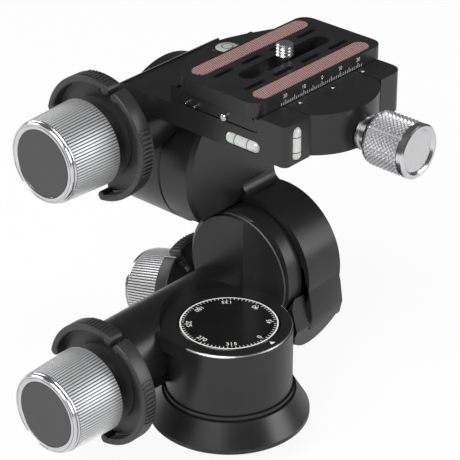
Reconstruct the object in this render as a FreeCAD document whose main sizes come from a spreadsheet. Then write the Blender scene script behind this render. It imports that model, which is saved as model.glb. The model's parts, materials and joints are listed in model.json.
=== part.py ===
import FreeCAD, Part
import math
import os
import re
import Sketcher

# Geared tripod head: a base that screws to a tripod, and three worm drives, one above the
# other, that turn the camera plate about a vertical, a pitch and a roll axis.
# Millimetres. Origin: middle of the base's underside, +Z up. The pan and roll knobs point
# along -X and the clamp knob along -Y.

SIZES = {
    # base and pan axis
    "flange_radius": 30.0, "flange_rim": 2.2, "flange_bevel": 0.6, "cone_radius": 25.0,
    "cone_top": 10.8, "collar_radius": 24.2, "collar_top": 12.6, "collar_groove": 0.5,
    "thread_radius": 4.76, "insert_radius": 7.0,
    "foot_screw_circle": 12.5, "foot_screw_radius": 1.5, "foot_screw_head": 2.7,
    "foot_screw_count": 3.0, "spindle_radius": 17.0, "spindle_seat": 8.4,
    "post_radius": 8.0, "drum_radius": 23.5, "drum_bottom": 13.0, "drum_top": 38.0,
    "drum_bevel": 0.8, "dial_radius": 18.6, "dial_depth": 2.8, "dial_ring": 1.4,
    "sight_radius": 25.4,
    # clearances
    "seat_gap": 0.05, "air": 0.4,
    # bearings shared by the three axes
    "bearing_radius": 11.0, "bearing_width": 4.0,
    # worm gearing shared by the three axes
    "wheel_teeth": 40.0, "gear_module": 0.77, "addendum": 0.6, "dedendum": 0.75,
    "pressure_angle": 20.0, "backlash": 0.15, "wheel_width": 6.0, "worm_radius": 4.6,
    "worm_length": 15.0, "shaft_radius": 2.5, "wheel_room": 1.2, "plate_offset": 5.7,
    # worm carrier and its pivot
    "carrier_radius": 6.5, "carrier_inner": 5.6, "block_start": 9.6, "block_width": 4.6,
    "worm_bearing_radius": 5.3, "worm_bearing_width": 3.4, "carrier_open": 1.5,
    "sleeve_radius": 6.2, "pivot_side": 3.6, "pivot_drop": 7.0, "pivot_radius": 1.0,
    "lug_radius": 2.6, "lug_width": 3.4, "lug_space": 5.0, "lug_inset": 1.6,
    "release_angle": 14.0, "spring_wire": 0.4, "spring_turns": 4.0,
    # release levers
    "lever_bore_gap": 0.06, "lever_ring": 15.0, "lever_radius": 23.8, "lever_wall": 2.2,
    "lever_depth": 12.4, "lever_web": 3.0, "lever_gap": 0.5, "lever_clear": 0.9,
    "wing_start_angle": -12.0, "wing_sweep_angle": 88.0, "long_wing_start_angle": 103.0,
    "long_wing_sweep_angle": 128.0,
    # knobs
    "knob_front_radius": 15.4, "knob_back_radius": 16.4, "knob_length": 22.8, "knob_wall": 2.2,
    "knob_bezel": 1.6, "knob_face": 6.0, "knob_boss": 6.5, "cap_radius": 12.4,
    "cap_depth": 1.5, "cap_recess": 0.2,
    # where each drive's worm lies
    "centre_distance": 20.0, "pan_gear_z": 26.0, "pitch_tilt_angle": 15.0,
    # pan housing's worm tube
    "tube_y": 25.2, "tube_z": 27.0, "tube_radius": 14.9, "tube_reach": 38.0,
    "rib_radius": 4.2, "rib_length": 26.5, "notch_start": 24.0, "notch_end": 9.0,
    "lip_bottom": 32.0, "lip_y": 15.3,
    # pitch axis
    "pitch_y": 16.0, "pitch_z": 44.0, "disc_radius": 24.0, "disc_front": 22.0,
    "disc_back": 31.5, "disc_bevel": 1.8, "axle_seat": 2.0, "arm_front": 32.3,
    "arm_back": 50.3, "arm_radius": 27.0, "arm_relief": 25.0, "pitch_gear_x": 38.4,
    "worm_tube_x": 36.8, "worm_tube_radius": 13.5, "worm_tube_inner": 31.0,
    "worm_tube_outer": 22.5, "skirt_front": 24.6, "tail_relief": 28.8, "tail_start": 12.0,
    "arm_fillet": 4.6, "cover_wall": 1.0,
    # roll axis
    "roll_x": 32.5, "roll_z": 86.0, "hub_radius": 29.6, "hub_face": 22.0, "hub_back": 36.5,
    "hub_bevel": 1.5, "barrel_front": 37.0, "barrel_back": 63.0, "roll_gear_y": 45.0,
    # platform
    "deck_front": -1.0, "deck_back": 64.0, "deck_bottom": 110.5, "deck_top": 119.8,
    "face_y": 26.6, "jaw_top": 126.0, "fence_y": 24.0, "fence_back": 46.0, "fence_lip": 4.0,
    "jaw_start": 12.2, "corner_width": 13.0, "corner_round": 2.4, "end_round": 5.0,
    "roll_tube_radius": 13.6,
    "roll_tube_reach": 43.4, "roll_tube_rise": 1.0,
    # plate and clamp
    "plate_length": 70.0, "plate_width": 38.0, "plate_bottom": 120.4, "plate_top": 131.0,
    "plate_slab": 5.6, "plate_corner": 5.0, "plate_front": -2.0, "plate_y": 4.6,
    "dovetail_gap": 0.12, "dovetail_neck": 15.8, "dovetail_foot": 18.4,
    "camera_screw_radius": 3.175, "camera_screw_rise": 5.5, "camera_screw_x": 34.8,
    "camera_neck_radius": 2.5, "camera_thread_start": 0.5, "camera_head_radius": 8.0,
    "camera_head_height": 2.5, "camera_clip": 0.5, "slot_front": 11.6,
    "slot_back": 57.8, "slot_gap": 0.35, "pad_width": 6.6, "pad_length": 60.0,
    "pad_depth": 0.8, "pad_rise": 0.3, "pad_edge": 1.4, "small_slot_width": 2.0,
    "small_slot_length": 10.4, "small_slot_y": 7.4, "small_slot_depth": 1.6,
    "clamp_screw_radius": 3.0, "clamp_knob_radius": 10.0, "clamp_knob_length": 18.5,
    "clamp_z": 115.2, "clamp_knob_start": 40.0, "clamp_collar": 6.0, "jaw_arc": 24.3,
    "jaw_arc_y": 10.7, "jaw_arc_x": 31.5, "jaw_gap": 0.4, "jaw_travel": 6.0,
    "guide_pin_radius": 2.0, "guide_pin_spread": 14.0, "guide_pin_length": 14.0,
    # spirit levels
    "bubble_x": 36.1, "bubble_y": 33.0, "bubble_radius": 4.4, "bubble_ring": 6.0,
    "bubble_depth": 4.0, "vial_radius": 2.4, "vial_length": 16.0, "vial_depth": 3.6,
    "front_vial_y": -7.0, "front_vial_z": 114.2, "side_vial_x": 5.2,
    "side_vial_z": 118.0, "side_vial_length": 13.0,
}

doc = FreeCAD.newDocument("GearedHead")
sheet = doc.addObject("Spreadsheet::Sheet", "Sizes")
for row, (name, number) in enumerate(SIZES.items(), start=1):
    sheet.set("A%d" % row, name)
    sheet.set("B%d" % row, str(number))
    sheet.setAlias("B%d" % row, name)
doc.recompute()

V = FreeCAD.Vector
X, Y, Z = V(1, 0, 0), V(0, 1, 0), V(0, 0, 1)
AXES = {"X": X, "Y": Y, "Z": Z}
AXIS_TURN = {
    "Z": FreeCAD.Rotation(),
    "X": FreeCAD.Rotation(Y, 90),
    "Y": FreeCAD.Rotation(X, -90),
}
WORD = re.compile(r"\b(%s)\b" % "|".join(sorted(SIZES, key=len, reverse=True)))
PARTS = []


def ref(expression):
    """The expression with each size named by its cell in the sheet."""
    return WORD.sub(r"Sizes.\1", str(expression))


def value(expression):
    """The number that an expression of sheet sizes has now."""
    return float(sheet.evalExpression(ref(expression)))


def bind(item, **values):
    """Tie properties of a document object to expressions of sheet sizes."""
    for prop, expression in values.items():
        item.setExpression(prop.replace("__", "."), ref(expression))
    return item


def place(item, at, axis="Z", turn=0.0):
    """Lay an object's own Z along a world axis, at a place given by expressions."""
    spin = FreeCAD.Rotation(AXES[axis], turn)
    return seat(item, at, spin.multiply(AXIS_TURN[axis]))


def seat(item, at, rotation):
    item.Placement = FreeCAD.Placement(V(), rotation)
    return bind(item, Placement__Base__x=at[0], Placement__Base__y=at[1],
                Placement__Base__z=at[2])


def cylinder(name, radius, length, at=(0, 0, 0), axis="Z", sweep=None, turn=0.0):
    item = doc.addObject("Part::Cylinder", name)
    bind(item, Radius=radius, Height=length)
    if sweep is not None:
        bind(item, Angle=sweep)
    return place(item, at, axis, turn)


def box(name, length, width, height, at):
    item = doc.addObject("Part::Box", name)
    bind(item, Length=length, Width=width, Height=height)
    return place(item, at)


def fuse(name, *items):
    item = doc.addObject("Part::MultiFuse", name)
    item.Shapes = list(items)
    item.Refine = True
    return item


def cut(name, base, *tools):
    item = doc.addObject("Part::Cut", name)
    item.Base = base
    item.Tool = tools[0] if len(tools) == 1 else fuse(name + "Tools", *tools)
    item.Refine = True
    return item


def common(name, *items):
    item = doc.addObject("Part::MultiCommon", name)
    item.Shapes = list(items)
    item.Refine = True
    return item


def group(name, *items):
    item = doc.addObject("Part::Compound", name)
    item.Links = list(items)
    return item


def solid(name, shape):
    item = doc.addObject("Part::Feature", name)
    item.Shape = shape
    return item


def section(body, name, role, profile):
    """A closed outline on one of a body's own planes, tied to the sheet."""
    sketch = body.newObject("Sketcher::SketchObject", name + "Section")
    plane = next(o for o in body.Origin.OriginFeatures if o.Role == role)
    sketch.AttachmentSupport = (plane, [""])
    sketch.MapMode = "FlatFace"
    points = [V(value(a), value(b), 0) for a, b in profile]
    count = len(points)
    for i in range(count):
        sketch.addGeometry(Part.LineSegment(points[i], points[(i + 1) % count]), False)
    for i in range(count):
        sketch.addConstraint(Sketcher.Constraint("Coincident", i, 2, (i + 1) % count, 1))
    for i, (pair, point) in enumerate(zip(profile, points)):
        for kind, expression, now, axis in (("DistanceX", pair[0], point.x, -2),
                                            ("DistanceY", pair[1], point.y, -1)):
            if abs(now) < 1e-9:
                sketch.addConstraint(Sketcher.Constraint("PointOnObject", i, 1, axis))
                continue
            if now > 0:
                rule = Sketcher.Constraint(kind, -1, 1, i, 1, now)
                text = ref(expression)
            else:
                rule = Sketcher.Constraint(kind, i, 1, -1, 1, -now)
                text = "-(%s)" % ref(expression)
            sketch.setExpression("Constraints[%d]" % sketch.addConstraint(rule), text)
    return sketch


def lathe(name, profile, at=(0, 0, 0), axis="Z"):
    """A turned piece: its half section is (radius, height) expressions, in order."""
    body = doc.addObject("PartDesign::Body", name)
    sketch = section(body, name, "XZ_Plane", profile)
    turned = body.newObject("PartDesign::Revolution", name + "Turned")
    turned.Profile = sketch
    turned.ReferenceAxis = (sketch, ["V_Axis"])
    turned.Angle = 360
    return place(body, at, axis)


def prism(name, profile, length, at, rotation):
    """A straight piece: its section is (first, second) expressions, in order."""
    body = doc.addObject("PartDesign::Body", name)
    sketch = section(body, name, "XY_Plane", profile)
    pad = body.newObject("PartDesign::Pad", name + "Pad")
    pad.Profile = sketch
    bind(pad, Length=length)
    return seat(body, at, rotation)


def keep(item, node):
    """Name a finished piece."""
    item.Label = node
    PARTS.append(item)
    return item


def upright_rounds(name, item, radius, test=lambda x, y: True):
    """Fillets on the upright edges of a block that the test picks by their place."""
    doc.recompute()
    rounds = doc.addObject("Part::Fillet", name)
    rounds.Base = item
    size = value(radius)
    rounds.Edges = [(i, size, size) for i, edge in enumerate(item.Shape.Edges, start=1)
                    if abs(edge.tangentAt(edge.FirstParameter).z) > 0.99
                    and test(edge.CenterOfMass.x, edge.CenterOfMass.y)]
    return rounds


def capsule(name, radius, length, middle, axis):
    """A rod with ball ends, its length over all, its middle at a place."""
    half = "((%s) / 2 - (%s))" % (length, radius)
    along = "XYZ".index(axis)
    ends = [tuple("%s %s %s" % (spot, sign, half) if i == along else spot
                  for i, spot in enumerate(middle)) for sign in "-+"]
    pieces = [cylinder(name + "Rod", radius, "2 * " + half, ends[0], axis)]
    for end, at in zip(("Low", "High"), ends):
        ball = doc.addObject("Part::Sphere", name + end)
        pieces.append(place(bind(ball, Radius=radius), at))
    return fuse(name, *pieces)


def slot(name, width, length, depth, at):
    """An upright slot with round ends, its middle line along X."""
    radius = "(%s) / 2" % width
    run = "(%s) - (%s)" % (length, width)
    return fuse(name,
                box(name + "Run", run, width, depth,
                    ("%s - (%s) / 2" % (at[0], run), "%s - %s" % (at[1], radius), at[2])),
                cylinder(name + "Front", radius, depth,
                         ("%s - (%s) / 2" % (at[0], run), at[1], at[2])),
                cylinder(name + "Back", radius, depth,
                         ("%s + (%s) / 2" % (at[0], run), at[1], at[2])))


# Worm gearing

PITCH = math.pi * value("gear_module")
FLANK = math.tan(math.radians(value("pressure_angle")))
TIP = "(centre_distance - worm_radius + addendum)"
BLOCK_END = "(block_start + block_width)"
KNOB_REACH = "(%s + lever_clear + lever_depth + lever_gap + knob_length)"


def spiral(profile, lead, turns, per_turn, start):
    """A helical bar in flat facets round X; its section is (radius, along) pairs."""
    rings = []
    for k in range(int(round(turns * per_turn)) + 1):
        angle = 2 * math.pi * k / per_turn
        along = start + lead * k / per_turn
        rings.append([V(along + dx, r * math.cos(angle), r * math.sin(angle))
                      for r, dx in profile])
    facets = []
    count = len(profile)
    for near, far in zip(rings, rings[1:]):
        for i in range(count):
            j = (i + 1) % count
            facets.append((near[i], near[j], far[j]))
            facets.append((near[i], far[j], far[i]))
    for ring in (rings[0], rings[-1]):
        for i in range(1, count - 1):
            facets.append((ring[0], ring[i], ring[i + 1]))
    faces = [Part.Face(Part.makePolygon([a, b, c, a])) for a, b, c in facets]
    bar = Part.makeSolid(Part.makeShell(faces))
    if bar.Volume < 0:
        bar.reverse()
    return bar


def worm_shape(reach):
    """The worm: a right-hand thread round its shaft, a crest facing the wheel at X = 0."""
    turns = int(value("worm_length") / PITCH) - 1
    tip = value("worm_radius + addendum")
    root = value("worm_radius - dedendum")
    half = PITCH / 4 - value("backlash")
    crest = half - value("addendum") * FLANK
    sunk = root - 0.25
    foot = half + (value("worm_radius") - sunk) * FLANK
    thread = spiral([(sunk, -foot), (tip, -crest), (tip, crest), (sunk, foot)],
                    PITCH, turns, 12, -PITCH * (0.5 + (turns - 1) // 2))
    length = value("worm_length")
    core = Part.makeCylinder(root, length, V(-length / 2, 0, 0), X)
    shaft = Part.makeCylinder(value("shaft_radius"), value("%s - 2 + %s" % (reach, BLOCK_END)),
                              V(-value(reach) + 2, 0, 0), X)
    return thread.fuse(core).fuse(shaft)


def wheel_shape():
    """The worm wheel: teeth slanted by the worm's lead, a gap facing the worm at rest."""
    teeth = int(round(value("wheel_teeth")))
    pitch_radius = value("centre_distance - worm_radius")
    tip = pitch_radius + value("addendum")
    root = pitch_radius - value("dedendum")
    half = PITCH / 4
    width = value("wheel_width")
    lead = PITCH / (2 * math.pi * value("worm_radius"))
    lean = lead * width / 2 / pitch_radius
    corners = ((root, half + value("dedendum") * FLANK), (tip, half - value("addendum") * FLANK),
               (tip, -half + value("addendum") * FLANK),
               (root, -half - value("dedendum") * FLANK))
    wires = []
    for side in (-1, 1):
        points = []
        for k in range(teeth):
            middle = math.pi / 2 + 2 * math.pi * (k + 0.5) / teeth + side * lean
            for radius, away in corners:
                angle = middle - away / radius
                points.append(V(radius * math.cos(angle), radius * math.sin(angle),
                                side * width / 2))
        wires.append(Part.makePolygon(points + [points[0]]))
    rim = Part.makeLoft(wires, True, True)
    bore = Part.makeCylinder(value("post_radius + seat_gap / 2"), width + 2,
                             V(0, 0, -width / 2 - 1))
    wheel = rim.cut(bore)
    wheel.translate(V(0, -value("centre_distance"), 0))
    return wheel


def spring_shape(side, start):
    """The torsion spring wound round the pivot pin between the carrier's lugs."""
    wire = value("spring_wire")
    inner = value("pivot_radius") + 0.15
    lead = wire + 0.25
    coil = spiral([(inner, 0), (inner + wire, 0), (inner + wire, wire), (inner, wire)],
                  lead, value("spring_turns"), 10, value(start) + 0.3)
    coil.translate(V(0, -value("pivot_side"), side * value("pivot_drop")))
    return coil


class Drive:
    """One worm drive in a frame of its own.

    The worm lies on the frame's X, its knob towards -X, and the wheel's middle is on -Y.
    Its carrier swings about a pin beside it, which lifts the worm out of the wheel.
    """

    def __init__(self, axis, mouth, side, at, rotation, wing_turn):
        self.axis = axis
        self.tag = axis.capitalize()
        self.reach = KNOB_REACH % mouth
        self.mouth = mouth
        self.side = side
        self.at = at
        self.rotation = rotation
        self.wing_turn = wing_turn
        self.pivot = ("-pivot_side", "%d * pivot_drop" % side)
        self.back = "-%s + knob_length" % self.reach

    def rod(self, name, radius, start, end, across=(0, 0)):
        return cylinder(self.tag + name, radius, "(%s) - (%s)" % (end, start),
                        (start,) + tuple(across), "X")

    def finish(self, item, node):
        """Name a piece of the drive and put it in the drive's frame."""
        placed = group(self.tag + "Placed" + node.title().replace("_", ""), item)
        seat(placed, self.at, self.rotation)
        return keep(placed, self.axis + "_" + node)

    def make(self):
        self.finish(solid(self.tag + "Worm", worm_shape(self.reach)), "worm_shaft")
        self.finish(solid(self.tag + "Wheel", wheel_shape()), "worm_wheel")
        self.finish(self.carrier(), "worm_carrier")
        rings = []
        for name, start in (("Near", "-block_start - worm_bearing_width"),
                            ("Far", "block_start")):
            end = "%s + worm_bearing_width" % start
            rings.append(cut(self.tag + name + "Bearing",
                             self.rod(name + "Race", "worm_bearing_radius", start, end),
                             self.rod(name + "Bore", "shaft_radius + seat_gap", start, end)))
        self.finish(group(self.tag + "Bearings", *rings), "worm_bearings")
        self.finish(self.rod("Pin", "pivot_radius", "-%s" % self.mouth,
                             "-%s + %s" % (self.mouth, "lug_inset + 2 * lug_width + lug_space + 3"),
                             self.pivot), "pivot_pin")
        spring = spring_shape(self.side, "-%s + lug_inset + lug_width" % self.mouth)
        self.finish(solid(self.tag + "Spring", spring), "release_spring")
        self.finish(self.lever(), "release_lever")
        self.finish(self.knob(), "knob")
        self.finish(self.rod("Cap", "cap_radius", "-%s + cap_recess" % self.reach,
                             "-%s + cap_recess + cap_depth" % self.reach), "knob_cap")

    def carrier(self):
        near = "-%s + lug_inset" % self.mouth
        far = "%s + lug_width + lug_space" % near
        blocks = [
            self.rod("NearBlock", "carrier_radius", "-" + BLOCK_END, "-block_start"),
            self.rod("FarBlock", "carrier_radius", "block_start", BLOCK_END),
            self.rod("NearLug", "lug_radius", near, near + " + lug_width", self.pivot),
            self.rod("FarLug", "lug_radius", far, far + " + lug_width", self.pivot),
            self.rod("Sleeve", "sleeve_radius", self.back + " + air", "-block_start"),
            cut(self.tag + "Yoke",
                self.rod("YokeOuter", "carrier_radius", "-block_start", "block_start"),
                self.rod("YokeInner", "carrier_inner", "-block_start", "block_start"),
                box(self.tag + "YokeOpen", "2 * block_start", "carrier_radius + carrier_open",
                    "2 * carrier_radius",
                    ("-block_start", "-carrier_radius", "-carrier_radius"))),
        ]
        hole = "worm_bearing_radius + seat_gap"
        return cut(
            self.tag + "Carrier", fuse(self.tag + "CarrierSolid", *blocks),
            self.rod("ShaftHole", "shaft_radius + 0.3", "-%s" % self.reach, self.reach),
            self.rod("NearSeat", hole, "-block_start - worm_bearing_width", "-block_start"),
            self.rod("FarSeat", hole, "block_start", "block_start + worm_bearing_width"),
            self.rod("PivotHole", "pivot_radius + seat_gap", "-%s" % self.mouth, "0",
                     self.pivot))

    def lever(self):
        """The C-shaped release collar: two hollow wings on a ring round the sleeve."""
        front = self.back + " + lever_gap"
        back = front + " + lever_depth"
        web = back + " - lever_web"
        bore = "sleeve_radius + lever_bore_gap"
        pieces = [
            self.rod("LeverHub", bore + " + lever_wall", front, back),
            cut(self.tag + "LeverRing",
                self.rod("LeverRingOuter", "lever_ring", front, back),
                self.rod("LeverRingInner", "lever_ring - lever_wall", front, web)),
        ]
        wall = math.degrees(value("lever_wall / lever_ring"))
        for side, start, sweep in (("Short", "wing_start_angle", "wing_sweep_angle"),
                                   ("Long", "long_wing_start_angle",
                                    "long_wing_sweep_angle")):
            turn = value(start) + self.wing_turn + 90
            wing = cylinder(self.tag + side + "Wing", "lever_radius", "lever_depth",
                            (front, 0, 0), "X", sweep, turn)
            pocket = cylinder(self.tag + side + "Pocket", "lever_radius - lever_wall",
                              "lever_depth - lever_web", (front, 0, 0), "X",
                              "%s - %.6f" % (sweep, 2 * wall), turn + wall)
            inside = self.rod(side + "Inside", "lever_ring - lever_wall", front, web)
            pieces.append(cut(self.tag + side + "Shell", wing, pocket, inside))
        return cut(self.tag + "Lever", fuse(self.tag + "LeverSolid", *pieces),
                   self.rod("LeverBore", bore, front + " - 1", back + " + 1"))

    def knob(self):
        """A hollow tapered knob with a stepped bezel."""
        floor = "cap_depth + cap_recess"
        bore = "shaft_radius + seat_gap / 2"
        return lathe(self.tag + "Knob", [
            (bore, floor), ("cap_radius + seat_gap", floor),
            ("cap_radius + seat_gap", "0.5"), ("cap_radius + 0.8", "0"),
            ("knob_front_radius - 0.9", "0"), ("knob_front_radius - 0.4", "0.6"),
            ("knob_front_radius - 0.4", "knob_bezel"), ("knob_front_radius", "knob_bezel + 0.3"),
            ("knob_back_radius", "knob_length - 0.4"), ("knob_back_radius - 0.4", "knob_length"),
            ("knob_back_radius - knob_wall", "knob_length"),
            ("knob_front_radius - knob_wall", "knob_face"), ("knob_boss", "knob_face"),
            ("knob_boss", "knob_length - 1"), (bore, "knob_length - 1"),
        ], ("-%s" % self.reach, 0, 0), "X")

    def room(self):
        """What the carrier and the wheel need clear in a housing, over the release."""
        pivot = V(0, -value("pivot_side"), self.side * value("pivot_drop"))
        swing = FreeCAD.Rotation(X, self.side * value("release_angle"))
        lifted = pivot + swing.multVec(pivot * -1)
        lift = (lifted.y / 2, lifted.z / 2)
        wide = "carrier_radius + air + %.4f" % (math.hypot(*lift))
        mouth = "-%s" % self.mouth
        depth = "lug_inset + 2 * lug_width + lug_space"
        tools = [
            self.rod("CarrierRoom", wide, mouth + " - 1", BLOCK_END + " + air", lift),
            self.rod("LugRoom", "lug_radius + air", mouth + " - 1",
                     "%s + %s + air" % (mouth, depth), self.pivot),
            self.rod("PinHole", "pivot_radius", mouth + " - 1",
                     "%s + %s + 3" % (mouth, depth), self.pivot),
            cylinder(self.tag + "WheelRoom", TIP + " + wheel_room", "wheel_width + 2 * air", (
                0, "-centre_distance", "-wheel_width / 2 - air")),
        ]
        return seat(fuse(self.tag + "Room", *tools), self.at, self.rotation)


def bearing(node, start, axis, across):
    """One of the plain rings that the moving bodies turn on."""
    spots = {"Z": (across[0], across[1], start), "Y": (across[0], start, across[1]),
             "X": (start, across[0], across[1])}
    name = node.title().replace("_", "")
    ring = cut(name,
               cylinder(name + "Outer", "bearing_radius", "bearing_width", spots[axis], axis),
               cylinder(name + "Bore", "post_radius + seat_gap", "bearing_width", spots[axis],
                        axis))
    return keep(ring, node)


def end_plate(node, length, wall, at, axis):
    """The turned plate that closes a gear housing and holds its bearing."""
    name = node.title().replace("_", "")
    rim = TIP + " + wheel_room - seat_gap"
    hole = "bearing_radius + seat_gap"
    return keep(lathe(name, [
        (hole, "0"), (rim, "0"), (rim, length), ("0", length), ("0", "%s - %s" % (length, wall)),
        (hole, "%s - %s" % (length, wall))], at, axis), node)


PAN_AT = ("0", "centre_distance", "pan_gear_z")
PITCH_AT = ("pitch_gear_x", "pitch_y - centre_distance * sin(pitch_tilt_angle)",
            "pitch_z - centre_distance * cos(pitch_tilt_angle)")
ROLL_AT = ("roll_x", "roll_gear_y", "roll_z + centre_distance")
tilt = math.radians(value("pitch_tilt_angle"))
into = V(0, -math.cos(tilt), math.sin(tilt))
down = V(0, -math.sin(tilt), -math.cos(tilt))
PITCH_TURN = FreeCAD.Rotation(into, down, X, "XYZ")
ROLL_TURN = FreeCAD.Rotation(X, 90)

pan = Drive("pan", "tube_reach", -1, PAN_AT, FreeCAD.Rotation(), 0)
pitch = Drive("pitch", "worm_tube_inner", 1, PITCH_AT, PITCH_TURN, 96)
roll = Drive("roll", "roll_tube_reach", 1, ROLL_AT, ROLL_TURN, -90)
for unit in (pan, pitch, roll):
    unit.make()


# Base and pan axis

foot_holes = []
foot_taps = []
foot_screws = []
for k in range(int(round(value("foot_screw_count")))):
    spin = 360.0 * k / value("foot_screw_count")
    spot = ("foot_screw_circle * cos(%.3f)" % spin, "foot_screw_circle * sin(%.3f)" % spin)
    foot_holes.append(cylinder("FootHole%d" % k, "foot_screw_radius", "spindle_seat + 1",
                               spot + ("-1",)))
    foot_holes.append(cylinder("FootSink%d" % k, "foot_screw_head + 0.2", "4.2", spot + ("-1",)))
    foot_taps.append(cylinder("FootTap%d" % k, "foot_screw_radius", "3.6",
                              spot + ("spindle_seat - 0.1",)))
    foot_screws.append(lathe("FootScrew%d" % k, [
        ("0", "0.4"), ("foot_screw_head", "0.4"), ("foot_screw_head", "3.15"),
        ("foot_screw_radius - seat_gap", "3.15"),
        ("foot_screw_radius - seat_gap", "spindle_seat + 3.3"), ("0", "spindle_seat + 3.3")],
        spot + ("0",)))
flange = lathe("Flange", [
    ("insert_radius + seat_gap", "0"), ("flange_radius - flange_bevel", "0"),
    ("flange_radius", "flange_bevel"), ("flange_radius", "flange_rim"),
    ("cone_radius", "cone_top"), ("collar_radius - 1.6", "cone_top"),
    ("collar_radius - 1.6", "cone_top + collar_groove"),
    ("collar_radius", "cone_top + collar_groove"), ("collar_radius", "collar_top"),
    ("spindle_radius + seat_gap", "collar_top"), ("spindle_radius + seat_gap", "spindle_seat"),
    ("insert_radius + seat_gap", "spindle_seat")])
keep(cut("BaseFlange", flange, *foot_holes), "base_flange")
keep(lathe("ThreadInsert", [
    ("thread_radius", "0"), ("insert_radius", "0"),
    ("insert_radius", "spindle_seat - seat_gap"), ("thread_radius", "spindle_seat - seat_gap")]),
    "base_thread_insert")
keep(group("FootScrews", *foot_screws), "base_screws")
POST_TOP = "drum_top - dial_depth - seat_gap"
spindle = lathe("Spindle", [
    ("thread_radius + air", "spindle_seat"), ("spindle_radius", "spindle_seat"),
    ("spindle_radius", "drum_bottom - 0.5"), ("post_radius + 2", "drum_bottom - 0.5"),
    ("post_radius + 2", "drum_bottom + 1 - seat_gap"),
    ("post_radius", "drum_bottom + 1 - seat_gap"), ("post_radius", POST_TOP), ("0", POST_TOP),
    ("0", "spindle_seat + 7"), ("thread_radius + air", "spindle_seat + 7")])
keep(cut("SpindleTapped", spindle, *foot_taps), "pan_spindle")
keep(lathe("Dial", [
    ("0", "drum_top - dial_depth"), ("dial_radius - 1.2", "drum_top - dial_depth"),
    ("dial_radius - 1.2", "drum_top - dial_ring"), ("dial_radius", "drum_top - dial_ring"),
    ("dial_radius", "drum_top - 0.25"), ("dial_radius - 0.25", "drum_top"),
    ("0", "drum_top")]), "pan_dial")
TOP_BEARING = "drum_top - dial_depth - air - bearing_width"
bearing("pan_lower_bearing", "drum_bottom + 1", "Z", ("0", "0"))
bearing("pan_upper_bearing", TOP_BEARING, "Z", ("0", "0"))
keep(lathe("PanEndPlate", [
    ("post_radius + 2 + air", "0"), (TIP + " + wheel_room - seat_gap", "0"),
    (TIP + " + wheel_room - seat_gap", "pan_gear_z - plate_offset - drum_bottom"),
    ("bearing_radius + seat_gap", "pan_gear_z - plate_offset - drum_bottom"),
    ("bearing_radius + seat_gap", "1"), ("post_radius + 2 + air", "1")],
    ("0", "0", "drum_bottom")), "pan_end_plate")

# Pan housing: drum, worm tube and the fixed disc of the pitch axis in one casting

drum = lathe("Drum", [
    ("0", "drum_bottom"), ("drum_radius", "drum_bottom"),
    ("drum_radius", "drum_top - drum_bevel"), ("drum_radius - drum_bevel", "drum_top"),
    ("0", "drum_top")])
tube = cylinder("Tube", "tube_radius", "tube_reach + disc_front + 1",
                ("-tube_reach", "tube_y", "tube_z"), "X")
rib = cylinder("PinRib", "rib_radius", "rib_length", (
    "-tube_reach", "centre_distance - pivot_side", "pan_gear_z - pivot_drop"), "X")
lip = box("Lip", "drum_radius", "lip_y", "drum_top - lip_bottom",
          ("-drum_radius", "0", "lip_bottom"))
web = box("TubeWeb", "disc_front + 12", "tube_y", "drum_top - drum_bottom",
          ("-12", "0", "drum_bottom"))
disc = lathe("FixedDisc", [
    ("0", "0"), ("disc_radius - disc_bevel", "0"), ("disc_radius", "disc_bevel"),
    ("disc_radius", "disc_back - disc_front"), ("0", "disc_back - disc_front")],
    ("disc_front", "pitch_y", "pitch_z"), "X")
notch = cut("Notch",
            box("NotchSpace", "notch_start - notch_end", "20", "lip_bottom - drum_bottom + 2",
                ("-notch_start", "centre_distance - 20", "drum_bottom - 2")),
            cylinder("NotchFloor", "carrier_radius + air + 2.4", "notch_start",
                     ("-notch_start", "centre_distance", "pan_gear_z"), "X"),
            cylinder("NotchDrum", "drum_radius", "lip_bottom"),
            cylinder("NotchRib", "rib_radius", "notch_start", (
                "-notch_start", "centre_distance - pivot_side", "pan_gear_z - pivot_drop"),
                "X"))
tail = cut("TailRelief",
           box("TailSpace", "disc_front - tail_start + 0.01", "60", "60",
               ("tail_start", "pitch_y", "pitch_z - 55")),
           cylinder("TailKept", "tail_relief", "60", ("0", "pitch_y", "pitch_z"), "X"))
outer = cut("PanOuter", fuse("PanRough", drum, tube, rib, lip, web), notch, tail)
sight = cylinder("Sight", "sight_radius", "60", ("0", "0", "drum_top"))
hollow = fuse(
    "PanHollow",
    cylinder("DialSeat", "dial_radius + 0.3", "dial_depth + air + 1",
             ("0", "0", "drum_top - dial_depth - air")),
    cylinder("PostRoom", "post_radius + air", "drum_top", ("0", "0", "drum_bottom - 1")),
    cylinder("PlateSeat", TIP + " + wheel_room", "pan_gear_z - drum_bottom + 1",
             ("0", "0", "drum_bottom - 1")),
    cylinder("TopSeat", "bearing_radius + seat_gap", "bearing_width + 1", ("0", "0", TOP_BEARING)),
    pan.room())
casting = cut("PanCasting", fuse("PanWithDisc", outer, disc), sight)
keep(cut("PanHousing", casting, hollow,
         cylinder("PitchAxleSeat", "post_radius + seat_gap / 2", "disc_back",
                  ("disc_front + axle_seat", "pitch_y", "pitch_z"), "X")), "pan_housing")

# Pitch axis: axle in the fixed disc, and the arm that swings round it

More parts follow.
